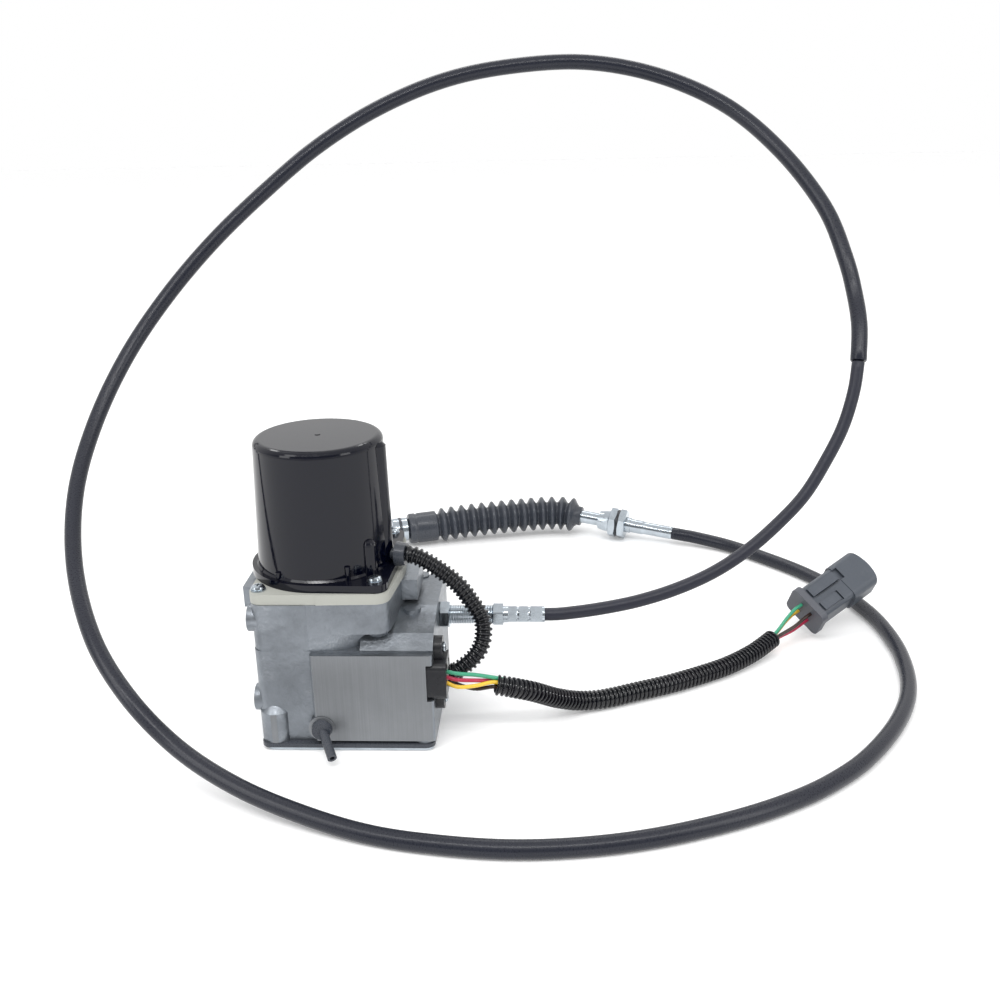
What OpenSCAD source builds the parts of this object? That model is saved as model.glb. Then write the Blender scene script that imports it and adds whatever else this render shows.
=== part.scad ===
// Electric throttle motor for an engine: a geared motor under a black cover on a cast
// aluminium housing, a push-pull cable with a bellows end, a position sensor and a plug.
// Units are millimetres. Z is up. The origin is on the floor, under the middle of the
// housing. The drain tube is at the front (-Y) and the cable leaves to the right (+X).

/* [Housing] */
// width of the cast housing along X
housing_width = 105; // [80:1:130]
// depth of the cast housing along Y
housing_depth = 100; // [80:1:130]
// height of the top face that the motor stands on
housing_top = 93; // [80:0.5:110]
// height of the lower, square part of the housing
box_top = 64; // [50:0.5:75]
// thickness of the cast walls
wall = 5; // [3:0.5:8]
// radius of the round upper part of the housing
barrel_radius = 47.5; // [40:0.5:55]
// thickness of the bottom cover
bottom_plate = 2.5; // [2:0.5:6]
// thickness of the bottom seal
bottom_seal = 2.5; // [1:0.5:4]

/* [Motor cover] */
// X of the motor axis
motor_x = -15; // [-25:0.5:0]
// Y of the motor axis
motor_y = 2; // [-8:0.5:10]
// thickness of the cream spacer under the cover
spacer_height = 6.3; // [3:0.1:10]
// thickness of the foot flange of the cover
flange_height = 4.7; // [3:0.1:8]
// radius of the foot flange of the cover
flange_radius = 44.5; // [41:0.5:50]
// outer radius of the cover where it meets its flange
cover_foot_radius = 40.8; // [35:0.1:45]
// outer radius of the cover at the top
cover_top_radius = 38.2; // [32:0.1:42]
// height of the top of the cover
cover_top = 181; // [150:1:200]
// wall thickness of the cover
cover_wall = 2.4; // [1.5:0.1:4]

/* [Motor] */
// outer radius of the motor can
can_radius = 31; // [25:0.5:34]
// radius of the motor shaft
shaft_radius = 3; // [2:0.5:5]

/* [Gears] */
// teeth of the pinion on the motor shaft
pinion_teeth = 10; // [9:1:14]
// teeth of the large gear that the motor drives
drive_teeth = 40; // [30:1:46]
// teeth of the pinion that moves the rack
rack_pinion_teeth = 18; // [14:1:22]
// height of the rack and cable axis
rack_z = 65; // [60:0.5:70]
// Y of the rack and cable axis
rack_y = 2; // [-5:0.5:10]

/* [Sensor] */
// Y of the sensor axis
sensor_y = -35; // [-40:0.5:-30]
// height of the sensor axis
sensor_z = 45; // [38:0.5:50]
// distance between the ears' screws
sensor_screw_spacing = 33; // [28:0.5:40]

/* [Cable] */
// diameter of the bare cable near the housing
near_diameter = 8; // [6:0.1:10]
// diameter of the cable with its outer sleeve
sheath_diameter = 10.2; // [8:0.1:13]
// outer diameter of the threaded end fittings
fitting_diameter = 11; // [9:0.1:14]
// distance across the flats of the near nuts
near_nut_flats = 15; // [13:0.5:19]
// distance across the flats of the far nuts
far_nut_flats = 23; // [19:0.5:27]

/* [Bellows end] */
// outer diameter of the bellows folds
boot_diameter = 29; // [24:0.5:34]
// number of folds in the bellows
boot_folds = 14; // [8:1:18]
// diameter of the steel coupling
coupling_diameter = 20; // [16:0.5:24]

/* [Wiring] */
// outer diameter of the motor conduit
conduit_diameter = 11; // [8:0.5:14]
// outer diameter of the long conduit
harness_diameter = 12.5; // [9:0.5:16]
// diameter of one insulated wire
wire_diameter = 2.4; // [1.8:0.1:3.5]

/* [Hidden] */
$fn = 64;
part_gap = 0.05;
casting = [0.60, 0.62, 0.65];
zinc = [0.72, 0.75, 0.78];
steel = [0.58, 0.60, 0.62];
black = [0.09, 0.09, 0.10];
left_face = -housing_width / 2;
right_face = housing_width / 2;
front_face = -housing_depth / 2;
back_face = housing_depth / 2;
housing_foot = bottom_plate + bottom_seal;
spacer_top = housing_top + spacer_height;
flange_top = spacer_top + flange_height;
can_height = cover_top - spacer_top - 13.7;
corner_screws = [[left_face + 6, front_face + 9], [right_face - 6, front_face + 6],
                 [right_face - 6, back_face - 6], [left_face + 6, back_face - 6]];
cover_ears = [[20, -36], [20, 40], [-50, 40]];
left_screw = [left_face + 4.5, front_face + 12.5];
lug_points = [[-37, 29.5], [37, 29.5], [-37, 81.5], [37, 81.5]];
plate_posts = [[left_face + 10.5, -30], [left_face + 10.5, 34],
               [right_face - 14.5, 34], [right_face - 14.5, -16]];
lug_hole_radius = 3.3;

gear_module = 1;
pressure = 25;
addendum = 0.8;
dedendum = 1.1;
backlash = 0.16;
pinion_r = gear_module * pinion_teeth / 2;
drive_r = gear_module * drive_teeth / 2;
rack_pinion_r = gear_module * rack_pinion_teeth / 2;
rack_half = 5;
drive_y = rack_y + rack_half + rack_pinion_r;
drive_x = motor_x + sqrt(pow(pinion_r + drive_r, 2) - pow(drive_y - motor_y, 2));
sector_x = -2;
sector_r = rack_y - rack_half - sensor_y;
sector_teeth = round(2 * sector_r / gear_module);
drive_angle = atan2(drive_y - motor_y, drive_x - motor_x);
rack_tooth_z = 4.5;
gear_z = 75.5;
gear_height = 6;
plate_z = 53;
plate_height = 3;
bevel_teeth = 12;
bevel_r = bevel_teeth * gear_module / 2;
bevel_face = 3.2;

// The near end of the cable, its standing loop and its run along the floor.
near_route = [[116, 2, 65], [128, 3, 65], [151, 8, 66], [175, 13, 69], [199, 20, 74],
              [222, 27, 82], [243, 35, 93], [262, 43, 107], [280, 51, 124], [294, 60, 144],
              [305, 68, 164], [312, 76, 185], [315, 83, 202]];
sheath_route = [[315.1, 83.2, 202.4], [317, 95, 222], [316, 109, 240], [311, 121, 262],
                [300, 142, 292], [275, 170, 326], [241, 193, 355], [197, 208, 375],
                [148, 213, 385], [98, 210, 384], [50, 204, 376], [4, 195, 359],
                [-38, 182, 335], [-75, 167, 306], [-109, 149, 275], [-139, 129, 241],
                [-162, 104, 206], [-177, 74, 169], [-181, 39, 134], [-171, -1, 101],
                [-148, -43, 73], [-121, -70, 49], [-89, -88, 26], [-51, -108, 14],
                [-11, -125, 8], [27, -138, 5.2], [65, -146, 5.2], [102, -149, 5.2],
                [139, -146, 5.2], [175, -138, 5.2], [213, -124, 5.2], [245, -108, 5.2],
                [273, -89, 5.2], [301, -62, 5.2], [329, -22, 5.2], [347, 19, 5.2],
                [355, 66, 5.2], [354, 110, 5.2], [347, 144, 5.2], [335, 174, 5.2],
                [317, 205, 5.2], [294, 233, 5.4], [268, 259, 6],
                [241.4, 273.4, 7.9], [231.8, 276.2, 8.8], [222.3, 279, 9.7]];
// The bellows end on the floor behind the motor, along one straight line up to the bellows.
far_start = [222.3, 279, 9.7];
far_dir = unit([-62, 18, 6]);
ferrule_length = 39.9;
hub_length = 24;
tube_length = 27;
boot_route = [[145.8, 301.2, 17.1], [137.2, 303.7, 17.9], [127, 305.4, 18.6], [110, 304.6, 18.7], [92, 301, 18.5],
              [75, 297, 18.3], [57, 293.5, 17.6], [40, 290, 16.6], [26, 286.5, 15.6],
              [10, 282, 15], [-3, 278, 15]];
coupling_start = [2, 279.5, 15];
coupling_dir = [-0.959, -0.283, 0];

// The motor wires run over the near nut and down to the sensor leads.
conduit_route = [[35.4, -7.8, 109], [39, -8.5, 108.9], [46, -9.7, 106], [55, -10.5, 100], [65.5, -11.5, 91],
                 [72.5, -12.5, 81.5], [79.5, -15, 70], [80, -20.5, 59], [75.5, -26, 51],
                 [66, -30.5, 44.5]];
harness_route = [[88, -34, 36], [98, -32, 33], [110, -26, 27], [124, -14, 16],
                 [138, -4, 8.5], [154, 2, 6.6], [174, 11, 6.6], [196, 21, 6.6],
                 [217, 33, 6.6], [237, 46, 6.8], [256, 62, 8], [272, 78, 11]];
plug_origin = [297, 100, 20];
plug_azimuth = 33;
plug_rise = 19;
plug_roll = 33;

// Basic helpers.
function unit(v) = v / norm(v);
function blend_point(p, i, t) =
    let (n = len(p) - 1, a = p[max(i - 1, 0)], b = p[i], c = p[min(i + 1, n)],
         d = p[min(i + 2, n)])
    0.5 * ((2 * b) + (c - a) * t + (2 * a - 5 * b + 4 * c - d) * t * t
           + (3 * b - a - 3 * c + d) * t * t * t);
// A smooth path through the route points with a few steps in each span.
function smooth(p, steps) =
    concat([for (i = [0 : len(p) - 2]) for (k = [0 : steps - 1]) blend_point(p, i, k / steps)],
           [p[len(p) - 1]]);
function tangents(p) =
    [for (i = [0 : len(p) - 1]) unit(p[min(i + 1, len(p) - 1)] - p[max(i - 1, 0)])];
function sides_along(t) =
    [for (i = 0, s = unit(cross(t[0], [0.21, 0.32, 0.92])); i < len(t);
          i = i + 1, s = i < len(t) ? unit(s - (s * t[i]) * t[i]) : s) s];
function run_lengths(p) = [for (i = 0, s = 0; i < len(p);
    i = i + 1, s = i < len(p) ? s + norm(p[i] - p[i - 1]) : s) s];
function at_run(p, l, s) =
    let (i = max([for (k = [0 : len(p) - 2]) if (l[k] <= s) k]))
    p[i] + (p[i + 1] - p[i]) * (s - l[i]) / (l[i + 1] - l[i]);
function ring(c, t, s, r, n) =
    let (w = cross(t, s)) [for (k = [0 : n - 1])
        c + r * (cos(360 * k / n) * s + sin(360 * k / n) * w)];

// A closed skin of round sections along a path. Every path point has its own radius.
module skin(path, radii, n = 10) {
    t = tangents(path);
    s = sides_along(t);
    m = len(path);
    polyhedron(
        points = [for (i = [0 : m - 1]) each ring(path[i], t[i], s[i], radii[i], n)],
        faces = concat(
            [[for (k = [0 : n - 1]) k]],
            [for (i = [0 : m - 2]) for (k = [0 : n - 1])
                [i * n + k, (i + 1) * n + k, i * n + (k + 1) % n]],
            [for (i = [0 : m - 2]) for (k = [0 : n - 1])
                [i * n + (k + 1) % n, (i + 1) * n + k, (i + 1) * n + (k + 1) % n]],
            [[for (k = [n - 1 : -1 : 0]) (m - 1) * n + k]]));
}

// The same with a bore along it.
module hollow_skin(path, radii, bores, n = 20) {
    t = tangents(path);
    s = sides_along(t);
    m = len(path);
    q = m * n;
    polyhedron(
        points = concat(
            [for (i = [0 : m - 1]) each ring(path[i], t[i], s[i], radii[i], n)],
            [for (i = [0 : m - 1]) each ring(path[i], t[i], s[i], bores[i], n)]),
        faces = concat(
            [for (i = [0 : m - 2]) for (k = [0 : n - 1])
                [i * n + k, (i + 1) * n + k, i * n + (k + 1) % n]],
            [for (i = [0 : m - 2]) for (k = [0 : n - 1])
                [i * n + (k + 1) % n, (i + 1) * n + k, (i + 1) * n + (k + 1) % n]],
            [for (i = [0 : m - 2]) for (k = [0 : n - 1])
                [q + i * n + k, q + i * n + (k + 1) % n, q + (i + 1) * n + k]],
            [for (i = [0 : m - 2]) for (k = [0 : n - 1])
                [q + i * n + (k + 1) % n, q + (i + 1) * n + (k + 1) % n, q + (i + 1) * n + k]],
            [for (k = [0 : n - 1]) [k, (k + 1) % n, q + k]],
            [for (k = [0 : n - 1]) [(k + 1) % n, q + (k + 1) % n, q + k]],
            [for (k = [0 : n - 1]) [(m - 1) * n + k, q + (m - 1) * n + k,
                                    (m - 1) * n + (k + 1) % n]],
            [for (k = [0 : n - 1]) [(m - 1) * n + (k + 1) % n, q + (m - 1) * n + k,
                                    q + (m - 1) * n + (k + 1) % n]]));
}

module tube(route, diameter, steps = 2, n = 10) {
    path = smooth(route, steps);
    skin(path, [for (p = path) diameter / 2], n);
}

// Places children with their Z axis along a direction.
module aim(origin, dir) {
    translate(origin)
        rotate([0, acos(dir[2] / norm(dir)), atan2(dir[1], dir[0])])
            children();
}

// Places children on the straight line of the far end, a run behind its start.
module far_end(run) { aim(far_start + run * far_dir, far_dir) children(); }

module hex_prism(flats, height) {
    cylinder(d = flats / cos(30), h = height, $fn = 6);
}

// A hexagon nut with turned chamfers on both faces.
module hex_nut(flats, height, bore) {
    difference() {
        intersection() {
            hex_prism(flats, height);
            rotate_extrude()
                polygon([[0, 0], [flats * 0.49, 0], [flats * 0.58, height * 0.12],
                         [flats * 0.58, height * 0.88], [flats * 0.49, height], [0, height]]);
        }
        translate([0, 0, -1]) cylinder(d = bore, h = height + 2);
    }
}

// A pan head screw with a cross recess and a flat washer, seated at z = 0.
module pan_screw(d, length, washer = true) {
    seat = washer ? d * 0.2 : 0;
    head = d * 0.62;
    difference() {
        rotate_extrude()
            polygon([[0, -length], [d * 0.45, -length], [d / 2, -length + d * 0.1],
                     [d / 2, 0], [washer ? d * 1.12 : d / 2, 0],
                     [washer ? d * 1.12 : d / 2, seat],
                     [d * 0.96, seat], [d, seat + head * 0.35], [d * 0.9, seat + head * 0.72],
                     [d * 0.6, seat + head * 0.95], [0, seat + head]]);
        for (a = [0, 90]) rotate([0, 0, a])
            translate([-d * 0.5, -d * 0.11, seat + head * 0.35])
                cube([d, d * 0.22, head]);
    }
}

module rounded_block(x0, x1, y0, y1, z0, z1, r) {
    translate([x0 + r, y0, z0]) cube([x1 - x0 - 2 * r, y1 - y0, z1 - z0]);
    translate([x0, y0 + r, z0]) cube([x1 - x0, y1 - y0 - 2 * r, z1 - z0]);
    for (x = [x0 + r, x1 - r], y = [y0 + r, y1 - r])
        translate([x, y, z0]) cylinder(r = r, h = z1 - z0);
}

// Involute gear teeth.
function inv(a) = tan(a) * 180 / PI - a;
function half_angle(r, rp, s) =
    let (rb = rp * cos(pressure))
    s / (2 * rp) * 180 / PI + inv(pressure) - (r > rb ? inv(acos(rb / r)) : 0);
function flank_radii(rp) =
    let (rb = rp * cos(pressure), lo = max(rb, rp - dedendum))
    [rp - dedendum, lo + 0.02, (lo + rp) / 2, rp, rp + addendum / 2, rp + addendum];
function tooth_points(rp, a, s) =
    let (f = flank_radii(rp))
    concat([for (r = f) let (h = half_angle(r, rp, s)) r * [cos(a - h), sin(a - h)]],
           [for (k = [5 : -1 : 0]) let (r = f[k], h = half_angle(r, rp, s))
               r * [cos(a + h), sin(a + h)]]);
module gear_2d(teeth, from = 0, to = -1) {
    rp = gear_module * teeth / 2;
    s = PI * gear_module / 2 - backlash;
    last = to < 0 ? teeth - 1 : to;
    polygon(concat(to < 0 ? [] : [[0, 0]],
        [for (i = [from : last]) each tooth_points(rp, 360 * i / teeth, s)]));
}

// A rack with its teeth pointing to +Y from the line y = 0. A gap centre is at x = at.
module rack_2d(x0, x1, at, back) {
    p = PI * gear_module;
    s = p / 2 - backlash;
    a = tan(pressure);
    first = ceil((x0 + s - at - p / 2) / p);
    last = floor((x1 - s - at - p / 2) / p);
    polygon(concat([[x0, -back], [x0, -dedendum]],
        [for (i = [first : last]) let (c = at + p / 2 + i * p) each
            [[c - s / 2 - a * dedendum, -dedendum], [c - s / 2 + a * addendum, addendum],
             [c + s / 2 - a * addendum, addendum], [c + s / 2 + a * dedendum, -dedendum]]],
        [[x1, -dedendum], [x1, -back]]));
}

// A 45 degree bevel gear. Its pitch cone's point is the origin and it stands on +Z.
module bevel_gear(phase) {
    n = bevel_teeth;
    rp = bevel_r;
    rv = rp / cos(45);
    s = PI * gear_module / 2 - backlash - 0.1;
    adds = [-dedendum, -0.5, 0, addendum * 0.5, addendum];
    k = 1 - bevel_face / (rp / sin(45));
    outline = [for (i = [0 : n - 1]) each concat(
        [for (q = adds) [q, phase + 360 * i / n
            - half_angle(rv + q, rv, s) * (rv + q) / (rp + q * cos(45))]],
        [for (j = [4 : -1 : 0]) let (q = adds[j]) [q, phase + 360 * i / n
            + half_angle(rv + q, rv, s) * (rv + q) / (rp + q * cos(45))]])];
    m = len(outline);
    outer = [for (o = outline) let (r = rp + o[0] * cos(45))
        [r * cos(o[1]), r * sin(o[1]), rp - o[0] * sin(45)]];
    top = rp + dedendum + 0.6;
    polyhedron(
        points = concat(outer, [for (p = outer) k * p],
                        [[0, 0, top], [0, 0, k * (rp + dedendum * sin(45))]]),
        faces = concat(
            [for (i = [0 : m - 1]) [i, (i + 1) % m, 2 * m]],
            [for (i = [0 : m - 1]) [m + (i + 1) % m, m + i, 2 * m + 1]],
            [for (i = [0 : m - 1]) [i, m + i, (i + 1) % m]],
            [for (i = [0 : m - 1]) [(i + 1) % m, m + i, m + (i + 1) % m]]));
}

module at_motor() { translate([motor_x, motor_y, 0]) children(); }

module housing_walls() {
    rounded_block(left_face, right_face, front_face + 4, back_face, housing_foot, box_top, 6);
    rounded_block(-19, right_face, front_face, -30, housing_foot + 2, box_top - 1, 2);
    // round upper part, cut flat on the left
    intersection() {
        at_motor() translate([0, 0, 30]) cylinder(r = barrel_radius, h = housing_top - 30);
        translate([left_face, -60, 0]) cube([120, 120, housing_top]);
    }
    rounded_block(left_face, motor_x, front_face + 4, back_face, box_top - 1, housing_top, 7.5);
    rounded_block(motor_x, 31, 14, back_face, box_top - 1, housing_top, 7.5);
    // sloping shoulder on the right
    translate([10, 0, 0]) rotate([90, 0, 90]) linear_extrude(right_face - 10)
        polygon([[front_face + 5, box_top - 2], [front_face + 5, box_top],
                 [front_face + 14, box_top + 7], [-18, box_top + 12], [-10, box_top + 13],
                 [36, box_top + 13], [back_face - 4, box_top], [back_face - 4, box_top - 2]]);
    // bosses for the cover screws
    intersection() {
        translate([0, 0, housing_top - 19]) ear_plan(19, 37, 8);
        translate([left_face - 6, -60, 0]) cube([120, 120, housing_top]);
    }
    for (p = cover_ears) translate([p[0], p[1], housing_top - 22]) cylinder(r1 = 5.4, r2 = 7.6, h = 5);
    // side ears of the top flange
    translate([left_face - 10, -19, housing_top - 13]) cube([12, 44, 13]);
    translate([26, -9, housing_top - 13]) cube([14.5, 34, 13]);
    // threaded lugs on the left
    for (p = lug_points) translate([left_face - 2.6, p[0], p[1]])
        rotate([0, 90, 0]) cylinder(r = 8, h = 11);
    // corner posts at the foot
    translate([left_face + 9.4, front_face + 9.4, housing_foot]) {
        cylinder(r = 9.4, h = 19);
        translate([0, 0, 18.9]) cylinder(r1 = 9.4, r2 = 4.6, h = 5);
    }
    // boss around the drain tube
    translate([-14.5, front_face + 2, 15.5]) rotate([90, 0, 0]) cylinder(r = 8, h = 2.6);
}

module housing_hollow() {
    translate([left_face + wall, front_face + 4 + wall - 1, housing_foot - 1])
        cube([housing_width - 2 * wall, housing_depth - 4 - 2 * wall + 1,
              box_top - wall - housing_foot + 1]);
    intersection() {
        at_motor() translate([0, 0, box_top - 10])
            cylinder(r = barrel_radius - wall, h = housing_top - box_top + 5);
        translate([left_face + wall, -60, 0]) cube([120, 120, housing_top]);
    }
    translate([10, -26, box_top - 10]) cube([right_face - wall - 10, 60, 18]);
    // room for the swing of the sensor sector and for the drive gear
    translate([10, -32, box_top - 10]) cube([24, 20, rack_z + 2 - box_top + 10]);
    translate([sector_x, sensor_y, box_top - 10]) cylinder(r = 5.6, h = rack_z + 2 - box_top + 10);
    translate([drive_x, drive_y, gear_z - 1.5]) cylinder(r = drive_r + 1.6, h = gear_height + 3);
}

module housing() {
    color(casting) difference() {
        union() {
            difference() {
                housing_walls();
                housing_hollow();
            }
            // inner posts for the bottom screws and the bearing plate
            for (p = corner_screws) translate([p[0] * 0.985, p[1] * 0.985, housing_foot])
                cylinder(r = 6, h = 14);
            for (p = plate_posts)
                translate([p[0], p[1], plate_z + plate_height]) cylinder(r = 5, h = 22);
            // upper bearing of the drive shaft
            translate([drive_x, drive_y, gear_z + gear_height + 0.8]) cylinder(r = 7, h = 8);
        }
        translate([drive_x, drive_y, gear_z]) cylinder(r = 4.05, h = 9);
        for (p = corner_screws) translate([p[0], p[1], housing_foot - 1])
            cylinder(r = 2.1, h = 13);
        for (p = plate_posts)
            translate([p[0], p[1], plate_z]) cylinder(r = 1.7, h = 14);
        for (p = cover_ears) translate([p[0], p[1], housing_top - 12])
            cylinder(r = 2.1, h = 14);
        translate([left_screw[0], left_screw[1], housing_top - 6]) cylinder(r = 2.1, h = 8);
        for (p = lug_points) translate([left_face - 4, p[0], p[1]])
            rotate([0, 90, 0]) cylinder(r = lug_hole_radius, h = 12);
        at_motor() translate([0, 0, housing_top - 20]) cylinder(r = 12, h = 30);
        // cable fitting
        translate([right_face - 10, rack_y, rack_z]) rotate([0, 90, 0])
            cylinder(d = fitting_diameter + 2 * part_gap, h = 20);
        // sensor recess, open to the front
        translate([right_face - 4, -51, sensor_z - 11.5 - part_gap]) cube([10, 26, 23 + 2 * part_gap]);
        translate([right_face - 12, sensor_y, sensor_z]) rotate([0, 90, 0])
            cylinder(r = 9 + part_gap, h = 20);
        for (s = [-1, 1]) translate([right_face - 9, sensor_y, sensor_z + s * sensor_screw_spacing / 2])
            rotate([0, 90, 0]) cylinder(r = 1.7, h = 12);
        // drain
        translate([-14.5, front_face - 3, 15.5]) rotate([-90, 0, 0])
            cylinder(r = 4.5 + part_gap, h = 14);
    }
}

module bottom_gasket() {
    color(black) difference() {
        rounded_block(left_face + 0.6, right_face - 0.6, front_face - 0.4, back_face - 0.6,
                      bottom_plate, housing_foot - 0.02, 5.5);
        translate([left_face + wall + 1, front_face + wall + 4, bottom_plate - 1])
            cube([housing_width - 2 * wall - 2, housing_depth - 2 * wall - 5, 5]);
        for (p = corner_screws) translate([p[0], p[1], 0]) cylinder(r = 2.3, h = 12);
    }
}

module bottom_cover() {
    color(zinc) difference() {
        union() {
            rounded_block(left_face + 3, right_face - 1.5, front_face + 0.6, back_face - 1.5,
                          0.6, bottom_plate, 5);
            translate([-32, -28, 0]) cube([64, 56, 2]);
        }
        for (p = corner_screws) translate([p[0], p[1], 0]) cylinder(r = 2.2, h = 12);
    }
}

module bottom_screws() {
    color(zinc) for (p = corner_screws) translate([p[0], p[1], 0.6 - part_gap])
        rotate([180, 0, 0]) translate([0, 0, 0])
            difference() {
                rotate_extrude() polygon([[0, -11], [2, -11], [2, 0], [3.6, 0], [3.2, 0.5], [0, 0.54]]);
                translate([-2, -0.4, 0.2]) cube([4, 0.8, 1]);
            }
}

module ear_plan(h, r_main, r_ear) {
    neck = 0.92 * r_ear;
    at_motor() cylinder(r = r_main, h = h);
    for (p = cover_ears) {
        translate([p[0], p[1], 0]) cylinder(r = r_ear, h = h);
        d = [p[0] - motor_x, p[1] - motor_y];
        at_motor() rotate([0, 0, atan2(d[1], d[0])]) translate([0, -neck, 0])
            cube([norm(d), 2 * neck, h]);
    }
}

module spacer_plate() {
    color([0.84, 0.84, 0.76]) translate([0, 0, housing_top]) difference() {
        intersection() {
            rounded_block(left_face - 0.6, 70, -45, 60, 0, spacer_height, 7.6);
            union() {
                ear_plan(spacer_height, barrel_radius, 8.4);
                translate([-60, -50, 0]) cube([46, 70, spacer_height]);
            }
        }
        at_motor() translate([0, 0, -1]) cylinder(r = can_radius + 2, h = 12);
        for (p = concat(cover_ears, [left_screw])) translate([p[0], p[1], -1])
            cylinder(r = 2.3, h = 12);
    }
}

module spacer_screw() {
    color(zinc) translate([left_screw[0], left_screw[1], spacer_top]) pan_screw(4, 11);
}

module cover_screws() {
    color(zinc) for (p = cover_ears) translate([p[0], p[1], flange_top]) pan_screw(4, 19);
}

module motor_cover() {
    r0 = cover_foot_radius;
    r1 = cover_top_radius;
    w = cover_wall;
    color(black) difference() {
        union() {
            translate([0, 0, spacer_top]) ear_plan(flange_height, flange_radius, 7.4);
            at_motor() rotate_extrude()
                polygon(concat([[0, flange_top - 1], [r0 + 1, flange_top - 1],
                                [r0 + 1, flange_top + 0.2], [r0, flange_top + 1.4]],
                               [for (a = [0 : 15 : 90]) [r1 - 4 + 4 * cos(a), cover_top - 4 + 4 * sin(a)]],
                               [[0, cover_top]]));
            // wire channel on the right
            at_motor() rotate([0, 0, -11]) {
                translate([r0 - 6, 0, spacer_top + 0.3])
                    cylinder(r1 = 8, r2 = 6.6, h = cover_top - 5.1 - spacer_top);
                translate([r0 - 6, 0, cover_top - 4.9]) cylinder(r1 = 6.6, r2 = 4.4, h = 2.3);
            }
            // stiffening rib over the right front screw and a small one beside it
            at_motor() rotate([0, 0, -40]) translate([r0 - 1, 0, spacer_top + 2])
                rotate_extrude() polygon(concat([[0, 0], [5, 0]],
                    [for (a = [0 : 18 : 90]) [4 * cos(a), 20 + 4 * sin(a)]]));
            at_motor() rotate([0, 0, -62]) translate([r0, 0, spacer_top + 2])
                cylinder(r = 1.7, h = 11);
            at_motor() rotate([0, 0, -122]) translate([r0, 0, spacer_top + 2])
                cylinder(r = 1.7, h = 7);
            // moulding pip in the middle of the top
            at_motor() translate([0, 0, cover_top - 0.5]) cylinder(r = 1.6, h = 0.8);
        }
        at_motor() rotate_extrude()
            polygon([[0, spacer_top - 1], [r0 - w, spacer_top - 1], [r1 - w, cover_top - w - 3],
                     [r1 - w - 3, cover_top - w], [0, cover_top - w]]);
        for (p = cover_ears) translate([p[0], p[1], spacer_top - 1]) {
            cylinder(r = 2.3, h = 12);
            translate([0, 0, 1 + flange_height]) cylinder(r = 4.9, h = 30);
        }
        at_motor() rotate([0, 0, -11]) translate([r0 - 10, 0, 109])
            rotate([0, 90, 0]) cylinder(r = 3.8, h = 20);
    }
}

module conduit_gland() {
    color(black) at_motor() rotate([0, 0, -11]) translate([r_gland(), 0, 109])
        rotate([0, 90, 0]) difference() {
            union() {
                cylinder(r = 3.7, h = 9);
                translate([0, 0, 6.2]) cylinder(r1 = 7.6, r2 = 6.6, h = 6);
            }
            translate([0, 0, -1]) cylinder(r = 2.6, h = 6.2);
        }
}
function r_gland() = cover_foot_radius - 2;

module motor_case() {
    color(steel) at_motor() difference() {
        translate([0, 0, spacer_top - 5]) cylinder(r = can_radius, h = can_height);
        translate([0, 0, spacer_top - 6]) cylinder(r = can_radius - 2, h = can_height - 1);
        translate([0, 0, spacer_top + can_height - 13]) cylinder(r = 4, h = 20);
    }
}

module motor_magnets() {
    color([0.20, 0.20, 0.22]) at_motor() for (a = [-60, 120]) rotate([0, 0, a])
        translate([0, 0, spacer_top + 10]) rotate_extrude(angle = 120)
            translate([can_radius - 7, 0]) square([4.95, can_height - 32]);
}

module motor_nose() {
    color(casting) at_motor() difference() {
        union() {
            translate([0, 0, housing_top + 0.05]) cylinder(r = can_radius - 2.05, h = 7);
            translate([0, 0, housing_top - 6]) cylinder(r = 11.9, h = 8);
        }
        translate([0, 0, housing_top - 8]) cylinder(r = shaft_radius + 0.1, h = 20);
    }
}

module armature() {
    color([0.55, 0.33, 0.20]) at_motor() difference() {
        union() {
            translate([0, 0, gear_z - 3])
                cylinder(r = shaft_radius, h = spacer_top + can_height - gear_z - 1.8);
            translate([0, 0, spacer_top + 12]) cylinder(r = 21, h = can_height - 36);
            translate([0, 0, spacer_top + can_height - 22]) cylinder(r = 10, h = 10);
        }
        for (a = [0 : 30 : 359]) rotate([0, 0, a])
            translate([15, -1.2, spacer_top + 11]) cube([8, 2.4, can_height - 34]);
    }
}

module brush_card() {
    color([0.30, 0.22, 0.15]) at_motor() {
        difference() {
            translate([0, 0, spacer_top + can_height - 11]) cylinder(r = can_radius - 2.05, h = 2);
            translate([0, 0, spacer_top + can_height - 12]) cylinder(r = 5, h = 6);
        }
        for (a = [0, 180]) rotate([0, 0, a])
            translate([10.1, -3.5, spacer_top + can_height - 21]) cube([11, 7, 10.5]);
    }
}

module motor_pinion() {
    color(steel) at_motor() rotate([0, 0, drive_angle]) translate([0, 0, gear_z])
        difference() {
            linear_extrude(gear_height + 1) gear_2d(pinion_teeth);
            translate([0, 0, -1]) cylinder(r = shaft_radius, h = 12);
        }
}

module drive_gear() {
    color([0.78, 0.62, 0.30]) translate([drive_x, drive_y, gear_z])
        difference() {
            rotate([0, 0, drive_angle + 180 + 180 / drive_teeth])
                linear_extrude(gear_height) gear_2d(drive_teeth);
            translate([0, 0, -1]) cylinder(r = 4, h = 12);
            for (a = [0 : 60 : 359]) rotate([0, 0, a]) translate([11.5, 0, -1])
                cylinder(r = 3.4, h = 12);
        }
}

module drive_shaft() {
    color(steel) translate([drive_x, drive_y, 0]) difference() {
        union() {
            translate([0, 0, plate_z - 3]) cylinder(r = 4, h = 34);
            translate([0, 0, rack_z - rack_tooth_z]) rotate([0, 0, -90])
                linear_extrude(2 * rack_tooth_z) gear_2d(rack_pinion_teeth);
        }
        translate([0, 0, plate_z - 4]) cylinder(r = 1.2, h = 8);
    }
}

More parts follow.
